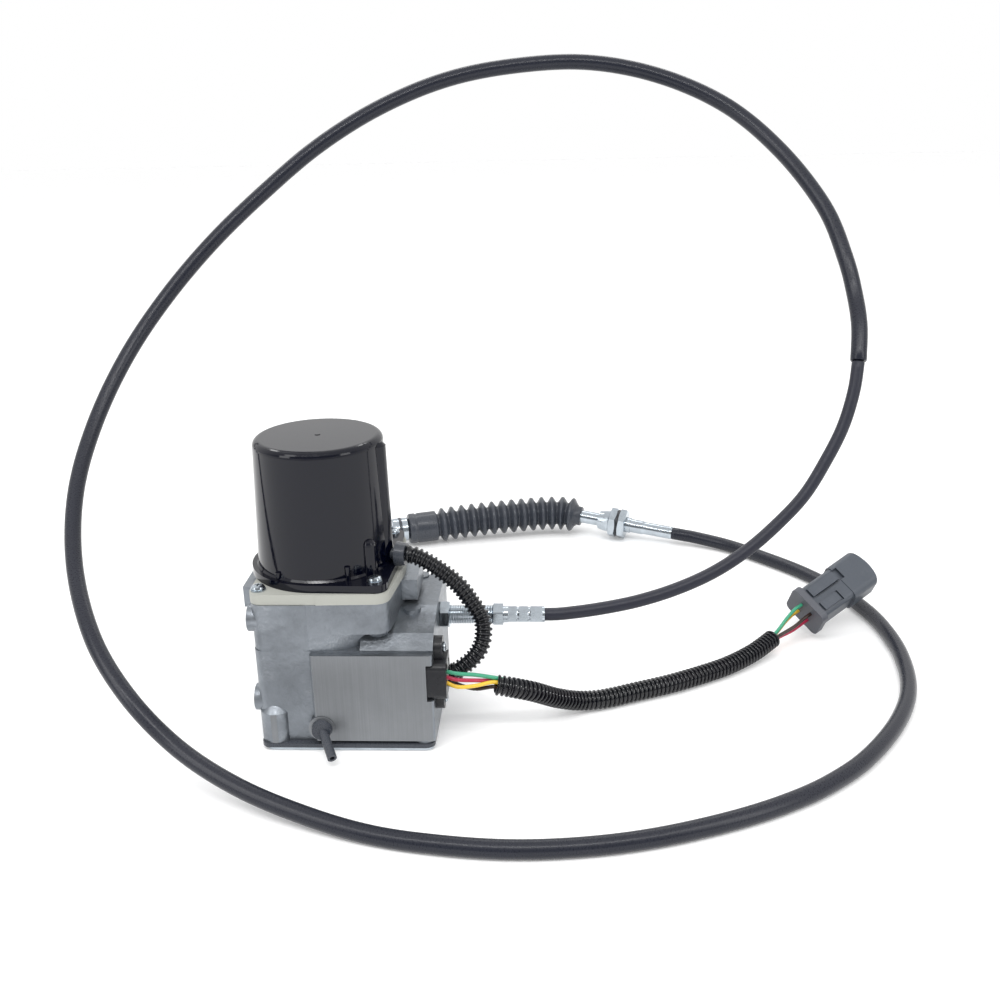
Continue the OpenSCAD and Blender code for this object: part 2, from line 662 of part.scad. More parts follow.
module bearing_plate() {
    color(zinc) translate([0, 0, plate_z]) difference() {
        union() {
            translate([left_face + 6, -35, 0]) cube([housing_width - 15, 74, plate_height]);
            translate([-14, front_face + 8.6, 0]) cube([24, 12, plate_height]);
        }
        for (p = plate_posts)
            translate([p[0], p[1], -1]) cylinder(r = 1.8, h = 8);
        translate([drive_x, drive_y, -1]) cylinder(r = 6.05, h = 8);
        translate([sector_x, sensor_y, -1]) cylinder(r = 4.55, h = 8);
        translate([30, -45, -1]) cube([20, 22, 8]);
    }
}

module plate_screws() {
    color(steel) for (p = plate_posts)
        translate([p[0], p[1], plate_z]) rotate([180, 0, 0]) difference() {
            rotate_extrude() polygon([[0, -11], [1.6, -11], [1.6, 0], [3, 0], [3, 1.6], [0, 2.1]]);
            translate([-3, -0.4, 1.2]) cube([6, 0.8, 3]);
        }
}

module bushes() {
    color([0.70, 0.50, 0.25]) {
        translate([drive_x, drive_y, plate_z]) difference() {
            cylinder(r = 6, h = plate_height);
            translate([0, 0, -1]) cylinder(r = 4.05, h = 8);
        }
        translate([sector_x, sensor_y, plate_z]) difference() {
            cylinder(r = 4.5, h = plate_height);
            translate([0, 0, -1]) cylinder(r = 2.55, h = 8);
        }
    }
}

module rack() {
    color(steel) difference() {
        union() {
            translate([0, rack_y + rack_half, rack_z - rack_tooth_z])
                linear_extrude(2 * rack_tooth_z) rack_2d(-27, 29, drive_x, rack_half);
            translate([0, rack_y - rack_half, rack_z - rack_tooth_z]) mirror([0, 1, 0])
                linear_extrude(2 * rack_tooth_z) rack_2d(-27, 29, sector_x, rack_half);
        }
        translate([18, rack_y, rack_z]) rotate([0, 90, 0]) cylinder(r = 2.02, h = 20);
    }
}

module rack_guide() {
    color([0.78, 0.62, 0.30]) translate([-44, rack_y - 3, plate_z + plate_height])
        cube([86, 6, rack_z - rack_tooth_z - plate_z - plate_height - 0.1]);
}

module sensor_sector() {
    color([0.78, 0.62, 0.30]) translate([sector_x, sensor_y, rack_z - 4])
        difference() {
            union() {
                rotate([0, 0, 90]) linear_extrude(5) gear_2d(sector_teeth, -6, 6);
                cylinder(r = 4.6, h = 5);
            }
            translate([0, 0, -1]) cylinder(r = 2.5, h = 8);
        }
}

module sector_shaft() {
    color(steel) translate([sector_x, sensor_y, sensor_z + bevel_r + 0.4])
        cylinder(r = 2.5, h = rack_z + 0.6 - sensor_z - bevel_r);
}

module sector_bevel() {
    color([0.78, 0.62, 0.30]) translate([sector_x, sensor_y, sensor_z])
        difference() {
            bevel_gear(0);
            translate([0, 0, bevel_r + 0.39]) cylinder(r = 2.5, h = 4);
        }
}

module sensor_bevel() {
    color([0.78, 0.62, 0.30]) translate([sector_x, sensor_y, sensor_z]) rotate([0, 90, 0])
        difference() {
            bevel_gear(180 / bevel_teeth);
            translate([0, 0, bevel_r + 0.39]) cylinder(r = 2.5, h = 4);
        }
}

module sensor_shaft() {
    color(steel) translate([sector_x + bevel_r + 0.4, sensor_y, sensor_z])
        rotate([0, 90, 0]) cylinder(r = 2.5, h = 40);
}

module sensor_body() {
    color(black) difference() {
        union() {
            translate([right_face - 3.95, -49.4, sensor_z - 11.5])
                rounded_bar(11.5, 23.8, 23, 4);
            for (s = [-1, 1]) translate([right_face + 0.05, sensor_y, sensor_z + s * sensor_screw_spacing / 2])
                rotate([0, 90, 0]) cylinder(r = 6.8, h = 5);
            translate([right_face + 0.05, sensor_y - 6.8, sensor_z - sensor_screw_spacing / 2])
                cube([5, 13.6, sensor_screw_spacing]);
            translate([right_face - 11.9, sensor_y, sensor_z]) rotate([0, 90, 0])
                cylinder(r = 9, h = 12);
        }
        translate([right_face - 13, sensor_y, sensor_z]) rotate([0, 90, 0])
            cylinder(r = 2.55, h = 8);
        for (s = [-1, 1]) translate([right_face - 1, sensor_y, sensor_z + s * sensor_screw_spacing / 2])
            rotate([0, 90, 0]) cylinder(r = 1.9, h = 12);
        translate([right_face + 5.5, sensor_y, sensor_z]) rotate([0, 90, 0])
            cylinder(r = 8.5, h = 4);
    }
}

// A bar along X with rounded long edges, h high and w deep.
module rounded_bar(l, w, h, r) {
    translate([0, r, 0]) cube([l, w - 2 * r, h]);
    translate([0, 0, r]) cube([l, w, h - 2 * r]);
    for (y = [r, w - r], z = [r, h - r]) translate([0, y, z]) rotate([0, 90, 0])
        cylinder(r = r, h = l);
}

module sensor_potting() {
    color([0.80, 0.81, 0.80]) translate([right_face + 5.5, sensor_y, sensor_z])
        rotate([0, 90, 0]) cylinder(r = 8.45, h = 1.6);
}

module sensor_screws() {
    color(zinc) for (s = [-1, 1])
        translate([right_face + 5.05, sensor_y, sensor_z + s * sensor_screw_spacing / 2])
            rotate([0, 90, 0]) pan_screw(3.2, 12, false);
}

drain_dir = [9, -19, -8];
module drain_grommet() {
    color(black) translate([-14.5, front_face - 0.65, 15.5]) difference() {
        union() {
            rotate([90, 0, 0]) cylinder(r1 = 6.2, r2 = 5.4, h = 3.6);
            rotate([-90, 0, 0]) cylinder(r = 4.4, h = 9);
        }
        aim([0, 0, 0], drain_dir) translate([0, 0, 0.6]) cylinder(r = 2.85, h = 20);
    }
}

module drain_tube() {
    color(black) aim([-14.5, front_face - 0.65, 15.5], drain_dir) difference() {
        translate([0, 0, 0.65]) cylinder(r = 2.8, h = 22);
        translate([0, 0, 3]) cylinder(r = 1.5, h = 22);
    }
}

module near_axis(x) { translate([x, rack_y, rack_z]) rotate([0, 90, 0]) children(); }

module near_locknut() {
    color(zinc) near_axis(right_face + 0.05)
        hex_nut(near_nut_flats, 6.2, fitting_diameter + 0.04);
}

module near_fitting() {
    color(zinc) near_axis(right_face - 8) difference() {
        union() {
            cylinder(d = fitting_diameter, h = 42);
            for (z = [0 : 1.5 : 27]) translate([0, 0, z + 14.5]) rotate_extrude()
                polygon([[5, 0], [fitting_diameter / 2, 0], [fitting_diameter / 2 + 0.45, 0.5],
                         [fitting_diameter / 2, 1], [5, 1]]);
            translate([0, 0, 41]) intersection() {
                hex_prism(near_nut_flats - 2, 6);
                cylinder(r = near_nut_flats * 0.48, h = 6);
            }
        }
        translate([0, 0, -1]) cylinder(r = 3.1, h = 60);
    }
}

module near_ferrule() {
    color(zinc) near_axis(right_face + 39) difference() {
        union() {
            cylinder(d = 10.2, h = 3);
            translate([0, 0, 3]) cylinder(d = 11, h = 21, $fn = 6);
            translate([0, 0, 24]) cylinder(d1 = 10.4, d2 = 9.6, h = 1.4);
        }
        translate([0, 0, -1]) cylinder(r = 3.1, h = 20);
        for (z = [8, 15]) translate([0, 0, z]) rotate_extrude()
            polygon([[5, 0], [4.7, 0.5], [4.7, 1.4], [5, 1.9], [7, 1.9], [7, 0]]);
        translate([0, 0, 23.5]) cylinder(d = near_diameter + 0.04, h = 4);
    }
}

module core_rod() {
    color(steel) near_axis(18) cylinder(r = 2, h = 62);
}

module cable_near() {
    color([0.14, 0.14, 0.15]) tube(near_route, near_diameter, 1, 12);
}

module cable_sheath() {
    color([0.13, 0.13, 0.14]) difference() {
        tube(sheath_route, sheath_diameter, 2, 12);
    }
}

module far_ferrule() {
    l = ferrule_length;
    color(zinc) far_end(0) rotate_extrude()
        polygon([[0, 0.05], [5.1, 0.05], [5.3, 1], [5.3, l - 16], [5.8, l - 14], [5.8, l - 4],
                 [6.5, l - 4], [6.5, l - 0.05], [0, l - 0.05]]);
}

module far_hub() {
    color(zinc) far_end(ferrule_length) difference() {
        union() {
            cylinder(d = 14, h = hub_length - 9);
            translate([0, 0, hub_length - 9]) intersection() {
                hex_prism(17, 9);
                cylinder(r1 = 9.6, r2 = 7.6, h = 9);
            }
        }
        translate([0, 0, hub_length - 3]) cylinder(d = 11.1, h = 4);
    }
}

module far_nuts() {
    color(zinc) for (run = [0.1, 8.2]) far_end(ferrule_length + run)
        hex_nut(far_nut_flats, 6, 14.05);
}

module far_washer() {
    color([0.25, 0.26, 0.28]) far_end(ferrule_length + 6.15) difference() {
        cylinder(r = 11.5, h = 2);
        translate([0, 0, -1]) cylinder(d = 14.1, h = 5);
    }
}

module swivel_tube() {
    color(zinc) far_end(ferrule_length + hub_length - 2.9) difference() {
        cylinder(d = 11, h = tube_length);
        translate([0, 0, 2]) cylinder(r = 3.2, h = tube_length);
    }
}

// A collar on the tube, the folds and a plain cuff over the coupling.
module boot() {
    path = smooth(boot_route, 6);
    runs = run_lengths(path);
    full = runs[len(runs) - 1];
    r = boot_diameter / 2;
    first = 4.6;
    pitch = (full - first - 26) / boot_folds;
    last = full - 26;
    rings = concat([[0, 8.2], [4, 8.2], [first, r - 4.9]],
        [for (k = [0 : boot_folds - 1]) each [[first + pitch * (k + 0.36), r],
            [first + pitch * (k + 0.6), r], [first + pitch * (k + 1), r - 4.9]]],
        [[last + 2, r - 1.6], [full - 1.4, r - 1.6], [full - 0.01, r - 2.6]]);
    color(black) hollow_skin([for (g = rings) at_run(path, runs, g[0])],
        [for (g = rings) g[1]],
        [for (g = rings) g[0] < 8 ? 5.75 : g[0] > last + 3 ? 6.15 : 8.1], 18);
}

module flexible_core() {
    near = ferrule_length + hub_length + 6;
    color(steel) tube([far_start + near * far_dir, far_start + (near + 12) * far_dir,
                       [128, 304.8, 18.2], [110, 304.2, 18.5], [75, 297, 18.3],
                       [40, 290, 16.6], [10, 282, 15],
                       coupling_start - 3 * unit(coupling_dir),
                       coupling_start - 1.4 * unit(coupling_dir)], 4.3, 2, 8);
}

module coupling() {
    r = coupling_diameter / 2;
    color(zinc) aim(coupling_start, coupling_dir) difference() {
        union() {
            translate([0, 0, -4]) cylinder(r = 6, h = 12);
            translate([0, 0, 5.5]) rotate_extrude()
                polygon([[0, 0], [r - 1.5, 0], [r, 1.2], [r, 6], [r - 1.4, 6.2], [r - 1.4, 8.2],
                         [r, 8.4], [r, 13], [r - 1, 14], [0, 14]]);
            translate([0, 0, 19]) cylinder(r = 4, h = 12);
        }
        translate([0, 0, -5]) cylinder(r = 2.25, h = 8);
    }
}

module coupling_ring() {
    color(black) aim(coupling_start, coupling_dir) translate([0, 0, 11.75]) rotate_extrude()
        {
            translate([coupling_diameter / 2 - 1.35, 0]) square([1.75, 1.9]);
        }
}

module clevis() {
    color(zinc) aim(coupling_start, coupling_dir) translate([0, 0, 27]) difference() {
        union() {
            cylinder(r = 8, h = 7);
            translate([-8, -8, 6.9]) cube([16, 16, 22]);
        }
        translate([0, 0, -1]) cylinder(r = 4.02, h = 9);
        translate([-9, -4, 11]) cube([18, 8, 30]);
        translate([0, -9, 22]) rotate([-90, 0, 0]) cylinder(r = 4, h = 18);
    }
}

module conduit_motor() {
    path = smooth(conduit_route, 6);
    runs = run_lengths(path);
    full = runs[len(runs) - 1];
    ribs = round(full / 3);
    pitch = (full - 0.01) / ribs;
    r = conduit_diameter / 2;
    rings = concat([for (k = [0 : ribs - 1]) each [[pitch * k, r - 1.3],
        [pitch * (k + 0.35), r], [pitch * (k + 0.68), r]]], [[full - 0.01, r - 1.3]]);
    color(black) skin([for (g = rings) at_run(path, runs, g[0])], [for (g = rings) g[1]], 12);
}

module conduit_harness() {
    color(black) tube(harness_route, harness_diameter, 1, 12);
}

module wire_yellow() {
    color([0.88, 0.70, 0.20]) {
        tube([[60.2, -40, 40.5], [66, -41.5, 38.6], [76, -39.5, 38.3], [86.2, -35, 38.3]], wire_diameter, 2, 8);
        plug_lead(2.6, 2.6);
    }
}
module wire_red() {
    color([0.65, 0.12, 0.22]) {
        tube([[60, -38.5, 43.4], [66, -39.5, 42.2], [76, -37.5, 40.8], [86.2, -32, 37.6]], wire_diameter, 2, 8);
        plug_lead(-2.6, 2.6);
    }
}
module wire_green() {
    color([0.25, 0.55, 0.42]) {
        tube([[60, -38, 46.8], [66, -39, 46], [76, -36.6, 44], [86.2, -33.4, 40.6]], wire_diameter, 2, 8);
        plug_lead(2.6, -2.6);
    }
}
module wire_brown() {
    color([0.20, 0.12, 0.08]) {
        tube([[60.4, -33, 39.4], [66, -33.4, 35.6], [76, -35, 33.8], [86.2, -33.8, 34.6]], wire_diameter, 2, 8);
        plug_lead(-2.6, -2.6);
    }
}

// Plug frame: +Z runs out of the mating face.
module plug_frame() {
    translate(plug_origin) rotate([0, 0, plug_azimuth]) rotate([0, 90 - plug_rise, 0])
        rotate([0, 0, plug_roll]) children();
}
function plug_dir() = [cos(plug_azimuth) * cos(plug_rise), sin(plug_azimuth) * cos(plug_rise),
                       sin(plug_rise)];
function plug_level() = [-sin(plug_azimuth), cos(plug_azimuth), 0];
function plug_side() = cos(plug_roll) * plug_level()
                       + sin(plug_roll) * cross(plug_dir(), plug_level());
function plug_up() = cross(plug_dir(), plug_side());
module plug_lead(a, b) {
    p = harness_route[len(harness_route) - 1];
    q = plug_origin + a * 1.7 * plug_side() - b * 1.7 * plug_up();
    out = unit(p - harness_route[len(harness_route) - 2]);
    start = p + 1.1 * out + 0.6 * a * plug_side() - 0.6 * b * plug_up();
    tube([start, start + 4 * out, (start + q) / 2 + 0.3 * a * plug_side(),
          q - 7 * plug_dir(), q - 2 * plug_dir(), q + 4 * plug_dir()], wire_diameter, 2, 8);
}

module plug_body() {
    color([0.36, 0.38, 0.43]) plug_frame() difference() {
        union() {
            translate([-10.5, -13, 5]) rounded_tower(21, 26, 30, 3.6);
            // wide front shell with a bowed mouth
            intersection() {
                translate([-11, -14.7, 33]) rounded_tower(22, 29.4, 27, 5);
                translate([-20, 0, 28]) rotate([0, 90, 0]) cylinder(r = 30, h = 40);
            }
            // two latch fingers on the upper side
            translate([-12.6, 2.2, 7]) cube([4, 7, 27.5]);
            translate([-12.3, -10, 7]) cube([4, 6.4, 15]);
        }
        translate([-8.6, -12.2, 38]) rounded_tower(17.2, 24.4, 30, 3.4);
        translate([-13, 1.2, 31.4]) cube([4.4, 9, 5.4]);
        translate([-13, -10.8, 22]) cube([4, 8, 2.6]);
        translate([-13, 1.1, 10]) cube([3.6, 1.1, 22]);
        translate([-9, -11.5, 4]) rounded_tower(18, 23, 12, 3);
        for (a = [-1, 1], b = [-1, 1]) translate([a * 4.4, b * 4.4, 10])
            cylinder(r = 1.6, h = 30);
    }
}

module rounded_tower(x, y, h, r) {
    translate([r, 0, 0]) cube([x - 2 * r, y, h]);
    translate([0, r, 0]) cube([x, y - 2 * r, h]);
    for (a = [r, x - r], b = [r, y - r]) translate([a, b, 0]) cylinder(r = r, h = h);
}

module plug_seal() {
    color([0.30, 0.32, 0.36]) plug_frame() difference() {
        union() {
            translate([-12.5, -15, 0]) rounded_tower(25, 30, 5, 4.5);
            translate([-8.9, -11.4, 4.9]) rounded_tower(17.8, 22.8, 5, 2.9);
        }
        for (a = [-1, 1], b = [-1, 1]) translate([a * 4.42, b * 4.42, -1])
            cylinder(r = 1.25, h = 20);
    }
}

module plug_wedge() {
    color([0.85, 0.45, 0.15]) plug_frame() translate([0, 0, 38.02]) difference() {
        translate([-4, -7, 0]) cube([8, 14, 6]);
        for (a = [-1, 1], b = [-1, 1]) translate([a * 4.4, b * 4.4, -1])
            cylinder(r = 2.2, h = 20);
    }
}

module plug_pins() {
    color([0.75, 0.70, 0.55]) plug_frame() for (a = [-1, 1], b = [-1, 1])
        translate([a * 4.4, b * 4.4, 14]) {
            cylinder(r = 1.55, h = 18);
            translate([0, 0, 17.9]) cylinder(r = 0.9, h = 19.9);
        }
}

housing();
bottom_gasket();
bottom_cover();
bottom_screws();
spacer_plate();
spacer_screw();
motor_cover();
cover_screws();
conduit_gland();
motor_case();
motor_magnets();
motor_nose();
armature();
brush_card();
motor_pinion();
drive_gear();
drive_shaft();
bearing_plate();
plate_screws();
bushes();
rack();
rack_guide();
sensor_sector();
sector_shaft();
sector_bevel();
sensor_bevel();
sensor_shaft();
sensor_body();
sensor_potting();
sensor_screws();
drain_grommet();
drain_tube();
near_locknut();
near_fitting();
near_ferrule();
core_rod();
cable_near();
cable_sheath();
far_ferrule();
far_hub();
far_nuts();
far_washer();
swivel_tube();
boot();
flexible_core();
coupling();
coupling_ring();
clevis();
conduit_motor();
wire_yellow();
wire_red();
wire_green();
wire_brown();
conduit_harness();
plug_body();
plug_seal();
plug_wedge();
plug_pins();
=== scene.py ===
"""Studio scene of an electric throttle motor with its control cable and wiring."""
import logging
import math
from dataclasses import dataclass, field
from enum import Enum

import bpy
from bpy.types import ID, Material, Node, NodeOutputs, NodeSocket, NodeTree, Object
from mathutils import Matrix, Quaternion, Vector


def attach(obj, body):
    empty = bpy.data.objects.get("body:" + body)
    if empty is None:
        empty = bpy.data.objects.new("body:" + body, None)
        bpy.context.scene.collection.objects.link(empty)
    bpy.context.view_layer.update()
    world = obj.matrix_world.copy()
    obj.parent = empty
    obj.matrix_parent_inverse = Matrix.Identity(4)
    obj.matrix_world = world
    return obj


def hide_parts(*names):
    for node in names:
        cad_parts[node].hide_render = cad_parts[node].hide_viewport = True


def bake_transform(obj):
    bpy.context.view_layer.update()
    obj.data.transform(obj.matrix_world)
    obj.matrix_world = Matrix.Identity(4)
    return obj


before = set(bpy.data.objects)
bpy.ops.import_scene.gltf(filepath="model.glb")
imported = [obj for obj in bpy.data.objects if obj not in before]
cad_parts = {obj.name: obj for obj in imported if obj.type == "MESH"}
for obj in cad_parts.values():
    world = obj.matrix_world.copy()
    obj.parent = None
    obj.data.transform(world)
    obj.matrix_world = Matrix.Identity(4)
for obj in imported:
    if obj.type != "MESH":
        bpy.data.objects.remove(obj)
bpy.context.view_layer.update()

log = logging.getLogger("throttle_motor")
MM = 0.001
# Path points for each span of a route
FINE_STEPS, COARSE_STEPS = 8, 6
Point = tuple[float, float, float]
Spot = tuple[float, float]
Built = tuple[Object, list[Vector]]


def unit(v: Vector) -> Vector:
    """Give a vector the length 1."""
    return v.normalized()


def smooth_route(points: list[Vector], steps: int) -> list[Vector]:
    """Lay a smooth path through route points, as the part's source does.

    Args:
        points: The route points.
        steps: Path points for each span of the route.

    Returns:
        The path points, the last route point included.
    """
    last = len(points) - 1
    path: list[Vector] = []
    for i in range(last):
        a, b = points[max(i - 1, 0)], points[i]
        c, d = points[min(i + 1, last)], points[min(i + 2, last)]
        for k in range(steps):
            t = k / steps
            path.append(0.5 * (2 * b + (c - a) * t + (2 * a - 5 * b + 4 * c - d) * t ** 2
                               + (3 * b - a - 3 * c + d) * t ** 3))
    return path + [points[last]]


def polar(centre: Spot, radius: float, angle: float) -> Spot:
    """Find the spot at an angle and a distance from a centre."""
    return (centre[0] + radius * math.cos(angle), centre[1] + radius * math.sin(angle))


def in_metres(points: list[Point]) -> list[Vector]:
    """Turn route points in millimetres into vectors in metres."""
    return [Vector(p) * MM for p in points]


def path_length(path: list[Vector]) -> float:
    """Add up the spans of a path."""
    return sum((b - a).length for a, b in zip(path, path[1:]))


def point_at(path: list[Vector], run: float) -> Vector:
    """Find the point a given run along a path."""
    left = run
    for a, b in zip(path, path[1:]):
        span = (b - a).length
        if left <= span:
            return a.lerp(b, left / span if span else 0.0)
        left -= span
    return path[-1].copy()


@dataclass
class Ring:
    """One round section of a swept piece: its run along the path and its radius, in metres."""

    run: float
    radius: float


class MeshMaker:
    """Collects vertices and faces of one piece and turns them into a Blender object."""

    side_hint = Vector((0.21, 0.32, 0.92))
    tangent_share = 0.002
    end_radius_share = 0.92
    end_run_share = 0.12

    def __init__(self) -> None:
        """Start with an empty mesh."""
        self.vertices: list[Vector] = []
        self.faces: list[tuple[int, ...]] = []
        self.sharp_from = 40.0

    def sweep(self, path: list[Vector], rings: list[Ring], sides: int, cap: bool = True) -> None:
        """Sweep round sections along a path without twist.

        Args:
            path: The centreline.
            rings: The sections in order. A ring may go back along the path, as a lip does.
            sides: Corners of each section.
            cap: Whether both ends are closed.
        """
        centres = [point_at(path, ring.run) for ring in rings]
        step = path_length(path) * self.tangent_share
        along = [unit(point_at(path, r.run + step) - point_at(path, max(0.0, r.run - step)))
                 for r in rings]
        side = unit(along[0].cross(self.side_hint))
        first = len(self.vertices)
        for centre, direction, ring in zip(centres, along, rings):
            side = unit(side - side.dot(direction) * direction)
            other = direction.cross(side)
            for k in range(sides):
                angle = math.tau * k / sides
                self.vertices.append(centre + ring.radius * (math.cos(angle) * side
                                                             + math.sin(angle) * other))
        for i in range(len(rings) - 1):
            for k in range(sides):
                a, b = first + i * sides + k, first + i * sides + (k + 1) % sides
                self.faces.append((a, b, b + sides, a + sides))
        if cap:
            self.faces.append(tuple(first + k for k in reversed(range(sides))))
            end = first + (len(rings) - 1) * sides
            self.faces.append(tuple(end + k for k in range(sides)))

    def tube(self, path: list[Vector], radius: float, sides: int, spacing: float) -> None:
        """Sweep a plain round tube with slightly rounded ends.

        Args:
            path: The centreline.
            radius: The radius in metres.
            sides: Corners of each section.
            spacing: The largest distance between sections, in metres.
        """
        full = path_length(path)
        count = max(4, math.ceil(full / spacing))
        rounded = radius * self.end_run_share
        rings = [Ring(0.0, radius * self.end_radius_share)]
        rings += [Ring(rounded + (full - 2 * rounded) * k / count, radius)
                  for k in range(count + 1)]
        self.sweep(path, rings + [Ring(full, radius * self.end_radius_share)], sides)

    def prism(self, plan: list[Spot], low: float, high: float) -> None:
        """Add an upright block with the given plan.

        Args:
            plan: The corners in millimetres, anticlockwise from above.
            low: The height of its foot in millimetres.
            high: The height of its top in millimetres.
        """
        first, count = len(self.vertices), len(plan)
        self.vertices += [Vector((x, y, z)) * MM for z in (low, high) for x, y in plan]
        self.faces.append(tuple(first + k for k in reversed(range(count))))
        self.faces.append(tuple(first + count + k for k in range(count)))
        for k in range(count):
            a, b = first + k, first + (k + 1) % count
            self.faces.append((a, b, b + count, a + count))

    def build(self, name: str, smooth: bool = True) -> Object:
        """Make the object.

        Args:
            name: The object's name.
            smooth: Whether its faces are shaded smooth.

        Returns:
            The new object, linked to the scene.
        """
        mesh = bpy.data.meshes.new(name)
        mesh.from_pydata([tuple(v) for v in self.vertices], [], self.faces)
        mesh.validate()
        if smooth:
            mesh.polygons.foreach_set("use_smooth", [True] * len(mesh.polygons))
            mesh.set_sharp_from_angle(angle=math.radians(self.sharp_from))
        piece = bpy.data.objects.new(name, mesh)
        bpy.context.scene.collection.objects.link(piece)
        return piece


def linear(code: str) -> tuple[float, float, float, float]:
    """Turn a colour written as six hexadecimal digits into linear light."""
    parts = [int(code[i:i + 2], 16) / 255 for i in (0, 2, 4)]
    channels = [c / 12.92 if c <= 0.04045 else ((c + 0.055) / 1.055) ** 2.4 for c in parts]
    return (channels[0], channels[1], channels[2], 1.0)


def feed(tree: NodeTree, node: Node, inputs: dict[object, object]) -> None:
    """Feed a node's inputs: link a socket, set any other value and pass over None.

    Args:
        tree: The tree that the node is in.
        node: The node.
        inputs: What each input is fed, by its label or number.
    """
    for label, value in inputs.items():
        if isinstance(value, NodeSocket):
            tree.links.new(value, node.inputs[label])
        elif value is not None:
            node.inputs[label].default_value = value


def add(tree: NodeTree, kind: str, inputs: dict[object, object], **settings: object) -> Node:
    """Add a node.

    Args:
        tree: The tree that it goes in.
        kind: The type of node.
        inputs: What each input is fed, by its label or number.
        settings: The node's own settings.

    Returns:
        The new node.
    """
    node = tree.nodes.new(kind)
    for name, value in settings.items():
        setattr(node, name, value)
    feed(tree, node, inputs)
    return node


def calculate(tree: NodeTree, kind: str, a: object, b: object = None, c: object = None,
              clamp: bool = False) -> NodeSocket:
    """Add one maths node and give back its result.

    Args:
        tree: The tree that it goes in.
        kind: The operation.
        a: The first number or socket.
        b: The second number or socket.
        c: The third number or socket.
        clamp: Whether the result stays between 0 and 1.

    Returns:
        The result socket.
    """
    return add(tree, "ShaderNodeMath", {0: a, 1: b, 2: c}, operation=kind,
               use_clamp=clamp).outputs[0]


class MixKind(Enum):
    """What a mix node mixes: its data type, its first input for it and its output."""

    NUMBER = ("FLOAT", 2, 0)
    COLOUR = ("RGBA", 6, 2)


def mix(tree: NodeTree, share: object, base: object, top: object,
        kind: MixKind = MixKind.NUMBER) -> NodeSocket:
    """Mix two values by a mask.

    Args:
        tree: The tree that the mix goes in.
        share: The mask. At 1 only the top value counts.
        base: The value or socket under the mask.
        top: The value or socket over it.
        kind: Whether numbers or colours are mixed.

    Returns:
        The mixed value.
    """
    data_type, first, result = kind.value
    return add(tree, "ShaderNodeMix", {0: share, first: base, first + 1: top},
               data_type=data_type).outputs[result]


def remap(tree: NodeTree, value: NodeSocket, span: Spot, levels: Spot,
          smooth: bool = False) -> NodeSocket:
    """Map a value from one range to another.

    Args:
        tree: The tree that the node goes in.
        value: The value.
        span: The values at both ends of the range.
        levels: The results for them.
        smooth: Whether the change starts and ends softly.

    Returns:
        The mapped value.
    """
    return add(tree, "ShaderNodeMapRange",
               {"Value": value, "From Min": span[0], "From Max": span[1], "To Min": levels[0],
                "To Max": levels[1]},
               interpolation_type="SMOOTHSTEP" if smooth else "LINEAR").outputs[0]


def emboss(tree: NodeTree, height: NodeSocket, depth: float) -> NodeSocket:
    """Turn a height into a bent surface normal.

    Args:
        tree: The tree that the node goes in.
        height: The height from 0 to 1.
        depth: The depth in millimetres of a height of 1.

    Returns:
        The normal.
    """
    return add(tree, "ShaderNodeBump", {"Distance": depth * MM, "Height": height}).outputs[0]


WHITE = (1.0, 1.0, 1.0, 1.0)
FLOOR_GREY = (0.92, 0.92, 0.92, 1.0)
DUST_COLOUR = (0.62, 0.60, 0.57, 1.0)
DUST_SCALE = 700.0
GROUND_FACE_Y = -0.0498
RUB_SCALE, RUB_FROM, RUB_GAIN = 60.0, 0.52, 6.0
SCRATCH_SCALE, SCRATCH_FROM, SCRATCH_GAIN = 360.0, 0.45, 5.0
BRUSH_GAIN = 1.4
SCRATCH_TURN = (0.5, 0.9, 0.3)
SCRATCH_STRETCH = (1.0, 14.0, 2.0)


class Socket(Enum):
    """Socket types of the shared shader groups."""

    NUMBER = "NodeSocketFloat"
    VECTOR = "NodeSocketVector"
    COLOUR = "NodeSocketColor"


